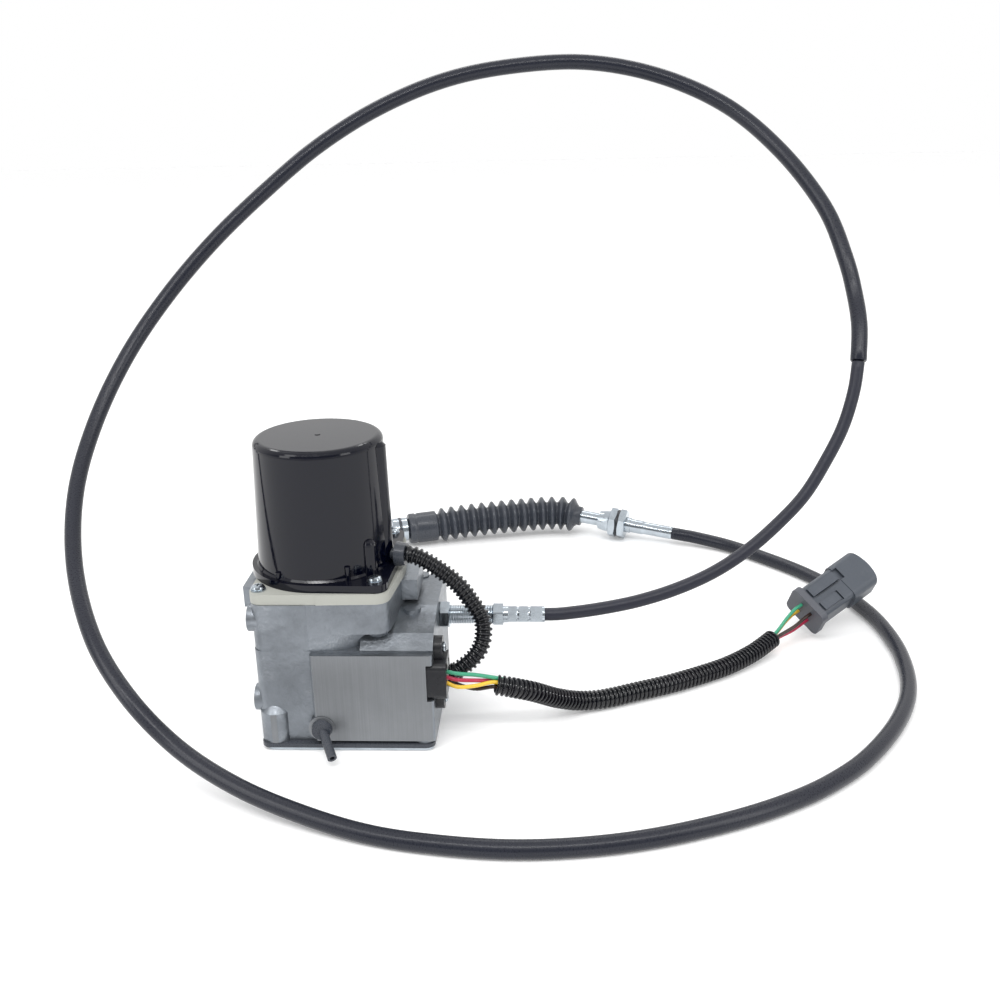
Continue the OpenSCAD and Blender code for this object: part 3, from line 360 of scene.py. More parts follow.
class Effects:
    """Shader groups that the finishes share, each built once."""

    def __init__(self) -> None:
        """Build every group."""
        self.grain = self._surface_grain()
        self.tone = self._tone_drift()
        self.scuffs = self._scuff_marks()
        self.brush = self._brushed_lines()
        self.dust = self._settled_dust()
        self.region = self._ground_region()

    @staticmethod
    def _group(name: str, takes: dict[str, Socket],
               gives: dict[str, Socket]) -> tuple[NodeTree, NodeOutputs, Node]:
        """Start a group with named sockets.

        Args:
            name: The group's name.
            takes: Input names with their type.
            gives: Output names with their type.

        Returns:
            The group, what it is given and the node that takes its results.
        """
        tree = bpy.data.node_groups.new(name, "ShaderNodeTree")
        for way, sockets in (("INPUT", takes), ("OUTPUT", gives)):
            for label, kind in sockets.items():
                tree.interface.new_socket(label, in_out=way, socket_type=kind.value)
        return (tree, tree.nodes.new("NodeGroupInput").outputs,
                tree.nodes.new("NodeGroupOutput"))

    @staticmethod
    def _noise(tree: NodeTree, vector: NodeSocket, scale: object, detail: float,
               rough: float) -> NodeSocket:
        """Add a noise texture and give back its value from 0 to 1."""
        inputs = {"Vector": vector, "Scale": scale, "Detail": detail, "Roughness": rough}
        return add(tree, "ShaderNodeTexNoise", inputs).outputs["Fac"]

    def _surface_grain(self) -> NodeTree:
        """Build the fine skin of a casting or moulding."""
        tree, given, end = self._group(
            "Surface grain",
            {"Vector": Socket.VECTOR, "Scale": Socket.NUMBER, "Waviness": Socket.NUMBER},
            {"Height": Socket.NUMBER, "Mask": Socket.NUMBER})
        fine = self._noise(tree, given["Vector"], given["Scale"], 4.0, 0.6)
        broad_scale = calculate(tree, "MULTIPLY", given["Scale"], 0.07)
        broad = self._noise(tree, given["Vector"], broad_scale, 2.0, 0.5)
        wave = calculate(tree, "MULTIPLY", broad, given["Waviness"])
        feed(tree, end, {"Height": calculate(tree, "ADD", fine, wave), "Mask": fine})
        return tree

    def _tone_drift(self) -> NodeTree:
        """Build a slow change of lightness over a surface."""
        tree, given, end = self._group(
            "Tone drift", {"Vector": Socket.VECTOR, "Color": Socket.COLOUR,
                           "Scale": Socket.NUMBER, "Amount": Socket.NUMBER},
            {"Color": Socket.COLOUR})
        patch = self._noise(tree, given["Vector"], given["Scale"], 5.0, 0.62)
        swing = calculate(tree, "SUBTRACT", patch, 0.5)
        swing = calculate(tree, "MULTIPLY", swing, given["Amount"])
        level = calculate(tree, "MULTIPLY_ADD", swing, 2.0, 1.0)
        scaled = add(tree, "ShaderNodeVectorMath", {0: given["Color"], "Scale": level},
                     operation="SCALE")
        feed(tree, end, {"Color": scaled.outputs[0]})
        return tree

    def _scuff_marks(self) -> NodeTree:
        """Build sparse rubbed patches with fine scratches in them."""
        tree, given, end = self._group(
            "Scuff marks", {"Vector": Socket.VECTOR, "Amount": Socket.NUMBER},
            {"Mask": Socket.NUMBER})
        patch = self._noise(tree, given["Vector"], RUB_SCALE, 3.0, 0.55)
        edge = calculate(tree, "SUBTRACT", patch, RUB_FROM)
        edge = calculate(tree, "MULTIPLY", edge, RUB_GAIN, clamp=True)
        stretch = add(tree, "ShaderNodeMapping", {
            "Vector": given["Vector"], "Rotation": SCRATCH_TURN, "Scale": SCRATCH_STRETCH})
        lines = self._noise(tree, stretch.outputs[0], SCRATCH_SCALE, 2.0, 0.5)
        lines = calculate(tree, "SUBTRACT", lines, SCRATCH_FROM)
        lines = calculate(tree, "MULTIPLY", lines, SCRATCH_GAIN, clamp=True)
        both = calculate(tree, "MULTIPLY", edge, lines)
        feed(tree, end, {"Mask": calculate(tree, "MULTIPLY", both, given["Amount"])})
        return tree

    def _brushed_lines(self) -> NodeTree:
        """Build fine parallel lines, long along the axis with the smallest stretch."""
        tree, given, end = self._group(
            "Brushed lines",
            {"Vector": Socket.VECTOR, "Stretch": Socket.VECTOR, "Scale": Socket.NUMBER},
            {"Height": Socket.NUMBER, "Mask": Socket.NUMBER})
        product = add(tree, "ShaderNodeVectorMath", {0: given["Vector"], 1: given["Stretch"]},
                      operation="MULTIPLY")
        lines = self._noise(tree, product.outputs[0], given["Scale"], 3.0, 0.7)
        mask = calculate(tree, "MULTIPLY", lines, BRUSH_GAIN, clamp=True)
        feed(tree, end, {"Height": lines, "Mask": mask})
        return tree

    def _settled_dust(self) -> NodeTree:
        """Build pale dust that lies on faces that look up."""
        tree, given, end = self._group(
            "Settled dust",
            {"Vector": Socket.VECTOR, "Color": Socket.COLOUR, "Amount": Socket.NUMBER},
            {"Color": Socket.COLOUR})
        geometry = tree.nodes.new("ShaderNodeNewGeometry")
        split = add(tree, "ShaderNodeSeparateXYZ", {0: geometry.outputs["Normal"]})
        up = calculate(tree, "MAXIMUM", split.outputs["Z"], 0.0)
        specks = self._noise(tree, given["Vector"], DUST_SCALE, 4.0, 0.7)
        share = calculate(tree, "MULTIPLY", up, specks)
        share = calculate(tree, "MULTIPLY", share, given["Amount"], clamp=True)
        dusted = mix(tree, share, given["Color"], DUST_COLOUR, MixKind.COLOUR)
        feed(tree, end, {"Color": dusted})
        return tree

    def _ground_region(self) -> NodeTree:
        """Build a mask of the front face that was ground flat after casting."""
        tree, given, end = self._group(
            "Ground region", {"Vector": Socket.VECTOR}, {"Mask": Socket.NUMBER})
        split = add(tree, "ShaderNodeSeparateXYZ", {0: given["Vector"]})
        before = calculate(tree, "LESS_THAN", split.outputs["Y"], GROUND_FACE_Y)
        feed(tree, end, {"Mask": before})
        return tree


@dataclass(frozen=True)
class Finish:
    """How one surface of the motor looks. Lengths are in millimetres."""

    name: str
    colour: str
    slot: str
    metallic: float = 0.0
    gloss: Spot = (0.35, 0.5)
    grain: float = 0.8
    grain_depth: float = 0.02
    waviness: float = 0.3
    tone: float = 0.08
    tone_patch: float = 25.0
    scuff: float = 0.1
    scuff_colour: str = "8c8c8a"
    dust: float = 0.05
    mask_span: Spot = (0.3, 0.7)
    specular: float = 0.5

    def material(self, effects: Effects) -> Material:
        """Make the Blender material.

        Args:
            effects: The shared shader groups.

        Returns:
            The new material.
        """
        made = bpy.data.materials.new(self.name)
        made.use_nodes = True
        tree = made.node_tree
        shader = tree.nodes["Principled BSDF"]
        place = tree.nodes.new("ShaderNodeTexCoord").outputs["Object"]
        grain = self._place(tree, effects.grain, place,
                            {"Scale": 1000.0 / self.grain, "Waviness": self.waviness})
        tone = self._place(tree, effects.tone, place, {
            "Color": linear(self.colour), "Scale": 1000.0 / self.tone_patch, "Amount": self.tone})
        scuffs = self._place(tree, effects.scuffs, place, {"Amount": self.scuff})
        worn = mix(tree, scuffs.outputs["Mask"], tone.outputs["Color"],
                   linear(self.scuff_colour), MixKind.COLOUR)
        dust = self._place(tree, effects.dust, place, {"Color": worn, "Amount": self.dust})
        feed(tree, shader, {
            "Metallic": self.metallic, "Specular IOR Level": self.specular,
            "Base Color": dust.outputs["Color"],
            "Roughness": remap(tree, grain.outputs["Mask"], self.mask_span, self.gloss),
            "Normal": emboss(tree, grain.outputs["Height"], self.grain_depth)})
        self.extra(tree, effects, place)
        return made

    def extra(self, tree: NodeTree, effects: Effects, place: NodeSocket) -> None:
        """Add what only one finish has. A plain finish adds nothing."""

    @staticmethod
    def _place(tree: NodeTree, group: NodeTree, place: NodeSocket,
               values: dict[str, object]) -> Node:
        """Put a shared group in the material.

        Args:
            tree: The material's tree.
            group: The shared group.
            place: The coordinates that it works in.
            values: What the group's other inputs are fed.

        Returns:
            The group node.
        """
        return add(tree, "ShaderNodeGroup", {"Vector": place} | values, node_tree=group)


@dataclass(frozen=True)
class CastFinish(Finish):
    """Die-cast aluminium with a front face that was ground flat."""

    ground_dark: str = "77797d"
    ground_light: str = "86898c"
    ground_lines: Point = (1.0, 1.0, 0.012)
    ground_line_scale: float = 1100.0
    ground_tone_scale: float = 45.0
    ground_tone: float = 0.12
    ground_roughness: float = 0.4
    swell_scale: float = 60.0
    swell_depth: float = 1.1
    swell_waviness: float = 2.0

    def extra(self, tree: NodeTree, effects: Effects, place: NodeSocket) -> None:
        """Add the slow waves of the cast skin and the ground face with its upright lines.

        Args:
            tree: The material's tree.
            effects: The shared shader groups.
            place: The coordinates of the surface.
        """
        shader = tree.nodes["Principled BSDF"]
        mask = self._place(tree, effects.region, place, {}).outputs["Mask"]
        brush = self._place(tree, effects.brush, place,
                            {"Stretch": self.ground_lines, "Scale": self.ground_line_scale})
        lines = mix(tree, brush.outputs["Mask"], linear(self.ground_dark),
                    linear(self.ground_light), MixKind.COLOUR)
        tone = self._place(tree, effects.tone, place, {
            "Color": lines, "Scale": self.ground_tone_scale, "Amount": self.ground_tone})
        colour, rough = shader.inputs["Base Color"], shader.inputs["Roughness"]
        tree.links.new(mix(tree, mask, colour.links[0].from_socket, tone.outputs["Color"],
                           MixKind.COLOUR), colour)
        tree.links.new(mix(tree, mask, rough.links[0].from_socket, self.ground_roughness), rough)
        fine = shader.inputs["Normal"].links[0].from_node
        height = fine.inputs["Height"]
        tree.links.new(mix(tree, mask, height.links[0].from_socket, brush.outputs["Height"]),
                       height)
        waves = self._place(tree, effects.grain, place,
                            {"Scale": self.swell_scale, "Waviness": self.swell_waviness})
        swell = mix(tree, mask, waves.outputs["Height"], 0.5)
        tree.links.new(emboss(tree, swell, self.swell_depth), fine.inputs["Normal"])


CAST = CastFinish("Die cast aluminium", "7d8288", "cast_metal", metallic=0.85, gloss=(0.3, 0.46),
                  grain=1.6, grain_depth=0.05, waviness=2.0, tone=0.6, tone_patch=34, scuff=0.25,
                  scuff_colour="b4b8bc", dust=0.04)
ZINC = Finish("Bright zinc plate", "b4bcc3", "zinc", metallic=1.0, gloss=(0.18, 0.26), grain=3.2,
              grain_depth=0.003, tone=0.34, tone_patch=10, scuff=0.08, scuff_colour="8a8c90",
              dust=0.0)
TURNED = Finish("Turned steel", "8e9195", "steel", metallic=1.0, gloss=(0.22, 0.4), grain=0.7,
                grain_depth=0.01, tone=0.1, tone_patch=10, scuff=0.2, dust=0.03)
COVER = Finish("Gloss black enamel", "020412", "cover_black", gloss=(0.07, 0.13), grain=2.6,
               grain_depth=0.008, waviness=1.2, tone=0.12, scuff=0.03, scuff_colour="24242c",
               dust=0.01, specular=0.34)
MOULDED = Finish("Moulded black plastic", "14151a", "black_plastic", gloss=(0.25, 0.4), grain=0.6,
                 tone=0.15, scuff=0.12, scuff_colour="3c3d42", dust=0.04, specular=0.4)
RUBBER = Finish("Black rubber", "363a42", "black_rubber", gloss=(0.22, 0.36), grain=0.7, tone=0.2,
                scuff_colour="3a3b40", specular=0.45)
CONDUIT = Finish("Gloss black conduit", "07090f", "conduit_black", gloss=(0.07, 0.13), grain=0.9,
                 grain_depth=0.008, tone=0.1, scuff=0.05, scuff_colour="303136", dust=0.0)
JACKET = Finish("Cable jacket", "1c1e2a", "cable_black", gloss=(0.34, 0.46), grain=0.9,
                waviness=1.0, tone=0.14, scuff=0.12, scuff_colour="44464e", dust=0.04,
                specular=0.35)
SLEEVE = Finish("Cable sleeve", "181b26", "sleeve_black", gloss=(0.24, 0.34), grain=1.1,
                grain_depth=0.018, waviness=1.0, tone=0.12, scuff=0.08, scuff_colour="404149",
                dust=0.03, specular=0.35)
CREAM = Finish("Cream spacer", "a6a7a0", "cream", gloss=(0.42, 0.55), grain=0.9, grain_depth=0.015,
               tone=0.04, scuff=0.15, scuff_colour="a8a898", dust=0.0)
BRASS = Finish("Cut brass", "c9a661", "brass", metallic=1.0, gloss=(0.25, 0.4), grain_depth=0.01,
               tone=0.1, dust=0.02)
WINDING = Finish("Enamelled winding", "6b3a1e", "copper_winding", metallic=0.6, gloss=(0.25, 0.45),
                 grain=0.5, grain_depth=0.05, tone=0.2)
MAGNET = Finish("Sintered magnet", "2c2c2f", "magnet", metallic=0.3, gloss=(0.4, 0.6), grain=0.5,
                grain_depth=0.03)
CARD = Finish("Brush card", "4a3322", "phenolic", gloss=(0.4, 0.6))
POTTING = Finish("Potting", "c4c5c4", "potting", gloss=(0.3, 0.45), grain=2.0, grain_depth=0.03,
                 waviness=2.0, tone=0.05, dust=0.0)
PLUG_SHELL = Finish("Plug shell", "40464f", "plug_grey", gloss=(0.36, 0.48), grain=0.5,
                    grain_depth=0.015, tone=0.06, scuff=0.12, scuff_colour="868a92")
PLUG_SEAL = Finish("Plug seal", "4a4d55", "seal_grey", gloss=(0.45, 0.6), grain=0.6, dust=0.08)
WEDGE = Finish("Plug wedge", "c66a2b", "wedge_orange")
DARK_WASHER = Finish("Black oxide", "3c3e41", "washer_dark", metallic=0.9, gloss=(0.3, 0.45),
                     grain_depth=0.01)
WIRE_FINISHES = {
    colour: Finish(name, code, f"wire_{colour}", gloss=(0.25, 0.35),
                   grain_depth=0.008, tone=0.06, dust=0.0)
    for colour, name, code in (
        ("yellow", "Yellow insulation", "e6bd3e"), ("red", "Crimson insulation", "b02a4a"),
        ("green", "Green insulation", "3f9a78"), ("brown", "Brown insulation", "2e1e17"))}


class Wardrobe:
    """Makes each material once and puts it on CAD nodes and on new pieces."""

    def __init__(self, effects: Effects) -> None:
        """Keep the shared groups and start with no material."""
        self.effects = effects
        self.made: dict[str, Material] = {}

    def material(self, finish: Finish) -> Material:
        """Give the material of a finish, made at its first use."""
        if finish.name not in self.made:
            self.made[finish.name] = finish.material(self.effects)
        return self.made[finish.name]

    def dress(self, finish: Finish, *nodes: str) -> None:
        """Put a finish on CAD nodes.

        Args:
            finish: The finish.
            nodes: Names of the CAD nodes.
        """
        for name in nodes:
            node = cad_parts[name]
            if not node.material_slots:
                node.data.materials.append(None)
            for slot in node.material_slots:
                slot.material = self.material(finish)

    def finish_piece(self, piece: Object, finish: Finish, body: str, *nodes: str) -> Object:
        """Dress a new piece, let it ride on a body and let it stand for CAD nodes.

        Args:
            piece: The new piece.
            finish: Its finish.
            body: The CAD body that carries it.
            nodes: The CAD nodes that it replaces.

        Returns:
            The piece.
        """
        piece.data.materials.append(self.material(finish))
        if body:
            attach(piece, body)
        if nodes:
            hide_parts(*nodes)
        log.info("%s rides on %s", piece.name, body or "two bodies")
        return piece


@dataclass(frozen=True)
class Lamp:
    """One soft box: where it hangs, what it faces, its width and height, all in metres."""

    name: str
    place: Point
    target: Point
    size: Spot
    power: float

    def hang(self) -> None:
        """Make the light and hang it."""
        data = bpy.data.lights.new(self.name, "AREA")
        data.shape = "RECTANGLE"
        data.size, data.size_y = self.size
        data.energy = self.power
        aim(data, self.place, Vector(self.target) - Vector(self.place))


def aim(data: ID, place: Point, heading: Vector, roll: float = 0.0) -> Object:
    """Put a light or a camera in the scene.

    Args:
        data: The light or camera.
        place: Where it is, in metres.
        heading: The way that it faces.
        roll: Its turn about that way, in degrees.

    Returns:
        The new object.
    """
    made = bpy.data.objects.new(data.name, data)
    made.location = place
    made.rotation_mode = "QUATERNION"
    turn = Quaternion((0, 0, 1), math.radians(roll))
    made.rotation_quaternion = heading.to_track_quat("-Z", "Y") @ turn
    bpy.context.scene.collection.objects.link(made)
    return made


@dataclass
class Studio:
    """The camera of the photograph, its soft light and the pale floor."""

    camera_place: Point = (125.35, -636.19, 367.9)
    look_along: Spot = (-0.0537, 0.9986)
    pitch_down: float = 19.66
    roll: float = -1.33
    lens: float = 41.23
    sensor_width: float = 36.0
    floor_half: float = 6.0
    floor_glow: float = 0.14
    room_level: float = 0.55
    overhead_level: float = 0.95
    # Directions between which the mirrored room changes, and its levels there
    front_ramp: tuple[Spot, Spot] = ((-0.75, 0.25), (0.3, 1.0))
    overhead_ramp: tuple[Spot, Spot] = ((0.4, 0.9), (0.0, 1.0))
    raised_ramp: tuple[Spot, Spot] = ((0.02, 0.3), (1.0, 1.05))
    sun_angle: float = 50.0
    sun_power: float = 1.25
    sun_heading: Point = (0.1, 0.3, -1.0)
    lamps: tuple[Lamp, ...] = (
        Lamp("box_left", (-1.1, -0.9, 0.9), (0.0, 0.0, 0.1), (0.5, 1.4), 7.0),
        Lamp("box_right", (1.35, -0.8, 0.9), (0.1, 0.0, 0.1), (0.5, 1.4), 7.0),
        Lamp("strip_back", (-0.1, 0.95, 1.15), (0.1, 0.05, 0.1), (1.6, 0.16), 4.0),
        Lamp("strip_front", (0.1, -0.85, 1.25), (0.1, 0.05, 0.1), (1.5, 0.07), 7.0))

    def build_camera(self) -> None:
        """Set up the camera where the photograph was taken from."""
        data = bpy.data.cameras.new("camera")
        data.sensor_width = self.sensor_width
        data.lens = self.lens
        pitch = math.radians(self.pitch_down)
        heading = Vector((self.look_along[0] * math.cos(pitch),
                          self.look_along[1] * math.cos(pitch), -math.sin(pitch)))
        bpy.context.scene.camera = aim(data, Vector(self.camera_place) * MM, heading, self.roll)

    def build_floor(self) -> None:
        """Lay the pale floor."""
        maker = MeshMaker()
        maker.vertices = [Vector((x, y, 0.0)) * self.floor_half for x, y in
                          ((-1, -1), (1, -1), (1, 1), (-1, 1))]
        maker.faces = [(0, 1, 2, 3)]
        floor = maker.build("floor", smooth=False)
        made = bpy.data.materials.new("Pale floor")
        made.use_nodes = True
        tree = made.node_tree
        shader = tree.nodes["Principled BSDF"]
        rays = tree.nodes.new("ShaderNodeLightPath")
        seen = mix(tree, rays.outputs["Is Glossy Ray"], rays.outputs["Is Camera Ray"], 1.0)
        feed(tree, shader, {
            "Base Color": FLOOR_GREY, "Roughness": 0.9, "Specular IOR Level": 0.0,
            "Emission Color": WHITE, "Emission Strength": mix(tree, seen, 0.0, self.floor_glow)})
        floor.data.materials.append(made)

    def build_light(self) -> None:
        """Hang the soft boxes and the wide key light and set the even light of the room."""
        for lamp in self.lamps:
            lamp.hang()
        data = bpy.data.lights.new("wide_key", "SUN")
        data.angle, data.energy = math.radians(self.sun_angle), self.sun_power
        aim(data, (0.0, 0.0, 0.0), Vector(self.sun_heading)).visible_glossy = False
        world = bpy.data.worlds.new("room")
        world.use_nodes = True
        tree = world.node_tree
        rays = tree.nodes.new("ShaderNodeLightPath")
        place = tree.nodes.new("ShaderNodeTexCoord")
        way = add(tree, "ShaderNodeSeparateXYZ", {0: place.outputs["Generated"]})
        front = remap(tree, way.outputs["Y"], *self.front_ramp, smooth=True)
        overhead = remap(tree, way.outputs["Z"], *self.overhead_ramp, smooth=True)
        raised = remap(tree, way.outputs["Z"], *self.raised_ramp, smooth=True)
        sky = calculate(tree, "MULTIPLY", front, raised)
        mirrored = mix(tree, overhead, sky, self.overhead_level)
        level = mix(tree, rays.outputs["Is Glossy Ray"], self.room_level, mirrored)
        level = mix(tree, rays.outputs["Is Transmission Ray"], level, 1.0)
        level = mix(tree, rays.outputs["Is Camera Ray"], level, 1.0)
        feed(tree, tree.nodes["Background"], {"Color": WHITE, "Strength": level})
        bpy.context.scene.world = world


@dataclass
class ControlCable:
    """The push-pull cable: bare near the housing, then with an outer sleeve."""

    near_diameter: float = 8.0
    sheath_diameter: float = 10.2
    near_length: float = 0.275
    sheath_length: float = 1.85
    near_route: list[Point] = field(default_factory=lambda: [
        (116, 2, 65), (128, 3, 65), (151, 8, 66), (175, 13, 69), (199, 20, 74), (222, 27, 82),
        (243, 35, 93), (262, 43, 107), (280, 51, 124), (294, 60, 144), (305, 68, 164),
        (312, 76, 185), (315, 83, 202)])
    sheath_route: list[Point] = field(default_factory=lambda: [
        (315.1, 83.2, 202.4), (317, 95, 222), (316, 109, 240), (311, 121, 262), (300, 142, 292),
        (275, 170, 326), (241, 193, 355), (197, 208, 375), (148, 213, 385), (98, 210, 384),
        (50, 204, 376), (4, 195, 359), (-38, 182, 335), (-75, 167, 306), (-109, 149, 275),
        (-139, 129, 241), (-162, 104, 206), (-177, 74, 169), (-181, 39, 134), (-171, -1, 101),
        (-148, -43, 73), (-121, -70, 49), (-89, -88, 26), (-51, -108, 14), (-11, -125, 8),
        (27, -138, 5.2), (65, -146, 5.2), (102, -149, 5.2), (139, -146, 5.2), (175, -138, 5.2),
        (213, -124, 5.2), (245, -108, 5.2), (273, -89, 5.2), (301, -62, 5.2), (329, -22, 5.2),
        (347, 19, 5.2), (355, 66, 5.2), (354, 110, 5.2), (347, 144, 5.2), (335, 174, 5.2),
        (317, 205, 5.2), (294, 233, 5.4), (268, 259, 6), (241.4, 273.4, 7.9),
        (231.8, 276.2, 8.8), (222.3, 279, 9.7)])

    def build(self, wardrobe: Wardrobe) -> tuple[Built, Built]:
        """Build both stretches of the cable.

        Args:
            wardrobe: The maker of materials.

        Returns:
            The near stretch and its path, then the sleeved stretch and its path.
        """
        near_path = smooth_route(in_metres(self.near_route), FINE_STEPS)
        maker = MeshMaker()
        maker.tube(near_path, self.near_diameter / 2 * MM, sides=24, spacing=0.004)
        near = wardrobe.finish_piece(maker.build("cable_core_jacket"), JACKET, "base",
                                     "cable_near")
        sheath_path = smooth_route(in_metres(self.sheath_route), FINE_STEPS)
        maker = MeshMaker()
        maker.tube(sheath_path, self.sheath_diameter / 2 * MM, sides=28, spacing=0.005)
        sheath = wardrobe.finish_piece(maker.build("cable_sleeve"), SLEEVE, "base",
                                       "cable_sheath")
        return (near, near_path), (sheath, sheath_path)


@dataclass
class BellowsEnd:
    """The far end of the cable: fittings, bellows, flexible core and coupling."""

    boot_diameter: float = 29.0
    boot_folds: int = 14
    first_fold: float = 4.6
    cuff_length: float = 26.0
    cuff_bore: float = 6.1
    cuff_depth: float = 8.0
    core_diameter: float = 4.3
    # Runs and radii of the collar, then runs and depths below the crest of a fold
    collar: tuple[Spot, ...] = ((5.0, 5.6), (0.0, 5.6), (0.0, 7.7), (0.5, 8.2), (3.8, 8.2))
    fold: tuple[Spot, ...] = ((0.0, 4.9), (0.07, 4.7), (0.2, 3.0), (0.35, 0.7), (0.43, 0.08),
                              (0.5, 0.0), (0.57, 0.08), (0.65, 0.7), (0.8, 3.0), (0.93, 4.7))
    cuff_start: tuple[Spot, ...] = ((0.0, 4.9), (0.8, 4.2), (2.0, 1.7), (3.0, 1.6))
    cuff_end: tuple[Spot, ...] = ((8.0, 1.6), (7.2, 2.2), (6.4, 2.2), (5.6, 1.6), (1.2, 1.6),
                                  (0.2, 2.4), (0.0, 3.2))
    far_start: Point = (222.3, 279, 9.7)
    far_heading: Point = (-62, 18, 6)
    core_start_run: float = 69.9
    core_straight: float = 12.0
    core_tail: Spot = (3.0, 1.4)
    coupling_start: Point = (2, 279.5, 15)
    coupling_heading: Point = (-0.959, -0.283, 0)
    boot_route: list[Point] = field(default_factory=lambda: [
        (145.8, 301.2, 17.1), (137.2, 303.7, 17.9), (127, 305.4, 18.6), (110, 304.6, 18.7),
        (92, 301, 18.5), (75, 297, 18.3), (57, 293.5, 17.6), (40, 290, 16.6),
        (26, 286.5, 15.6), (10, 282, 15), (-3, 278, 15)])

    def build_boot(self, wardrobe: Wardrobe) -> None:
        """Build the bellows with rounded folds, a collar and a cuff."""
        path = smooth_route(in_metres(self.boot_route), COARSE_STEPS)
        full, r = path_length(path), self.boot_diameter / 2
        first, cuff = self.first_fold * MM, full - self.cuff_length * MM
        pitch = (cuff - first) / self.boot_folds
        rings = [Ring(run * MM, radius * MM) for run, radius in self.collar]
        rings += [Ring(first + pitch * (fold + at), (r - drop) * MM)
                  for fold in range(self.boot_folds) for at, drop in self.fold]
        rings += [Ring(cuff + run * MM, (r - drop) * MM) for run, drop in self.cuff_start]
        rings += [Ring(full - left * MM, (r - drop) * MM) for left, drop in self.cuff_end]
        rings += [Ring(full - left * MM, self.cuff_bore * MM)
                  for left in (0.0, self.cuff_depth)]
        maker = MeshMaker()
        maker.sharp_from = 75.0
        maker.sweep(path, rings, sides=44, cap=False)
        boot = wardrobe.finish_piece(maker.build("bellows"), RUBBER, "", "boot")
        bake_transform(boot)

    def build_core(self, wardrobe: Wardrobe) -> None:
        """Build the flexible core inside the bellows."""
        start = Vector(self.far_start) * MM
        along = unit(Vector(self.far_heading))
        tail = Vector(self.coupling_start) * MM
        out = unit(Vector(self.coupling_heading))
        route = [start + self.core_start_run * MM * along,
                 start + (self.core_start_run + self.core_straight) * MM * along]
        route += in_metres([(128, 304.8, 18.2), (110, 304.2, 18.5), (75, 297, 18.3),
                            (40, 290, 16.6), (10, 282, 15)])
        route += [tail - before * MM * out for before in self.core_tail]
        path = smooth_route(route, COARSE_STEPS)
        maker = MeshMaker()
        maker.tube(path, self.core_diameter / 2 * MM, sides=16, spacing=0.004)
        core = wardrobe.finish_piece(maker.build("core_strand"), TURNED, "", "flexible_core")
        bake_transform(core)


@dataclass
class Lead:
    """One insulated wire of the sensor: its route to the conduit and its place in the plug."""

    colour: str
    route: list[Point]
    across: float
    above: float


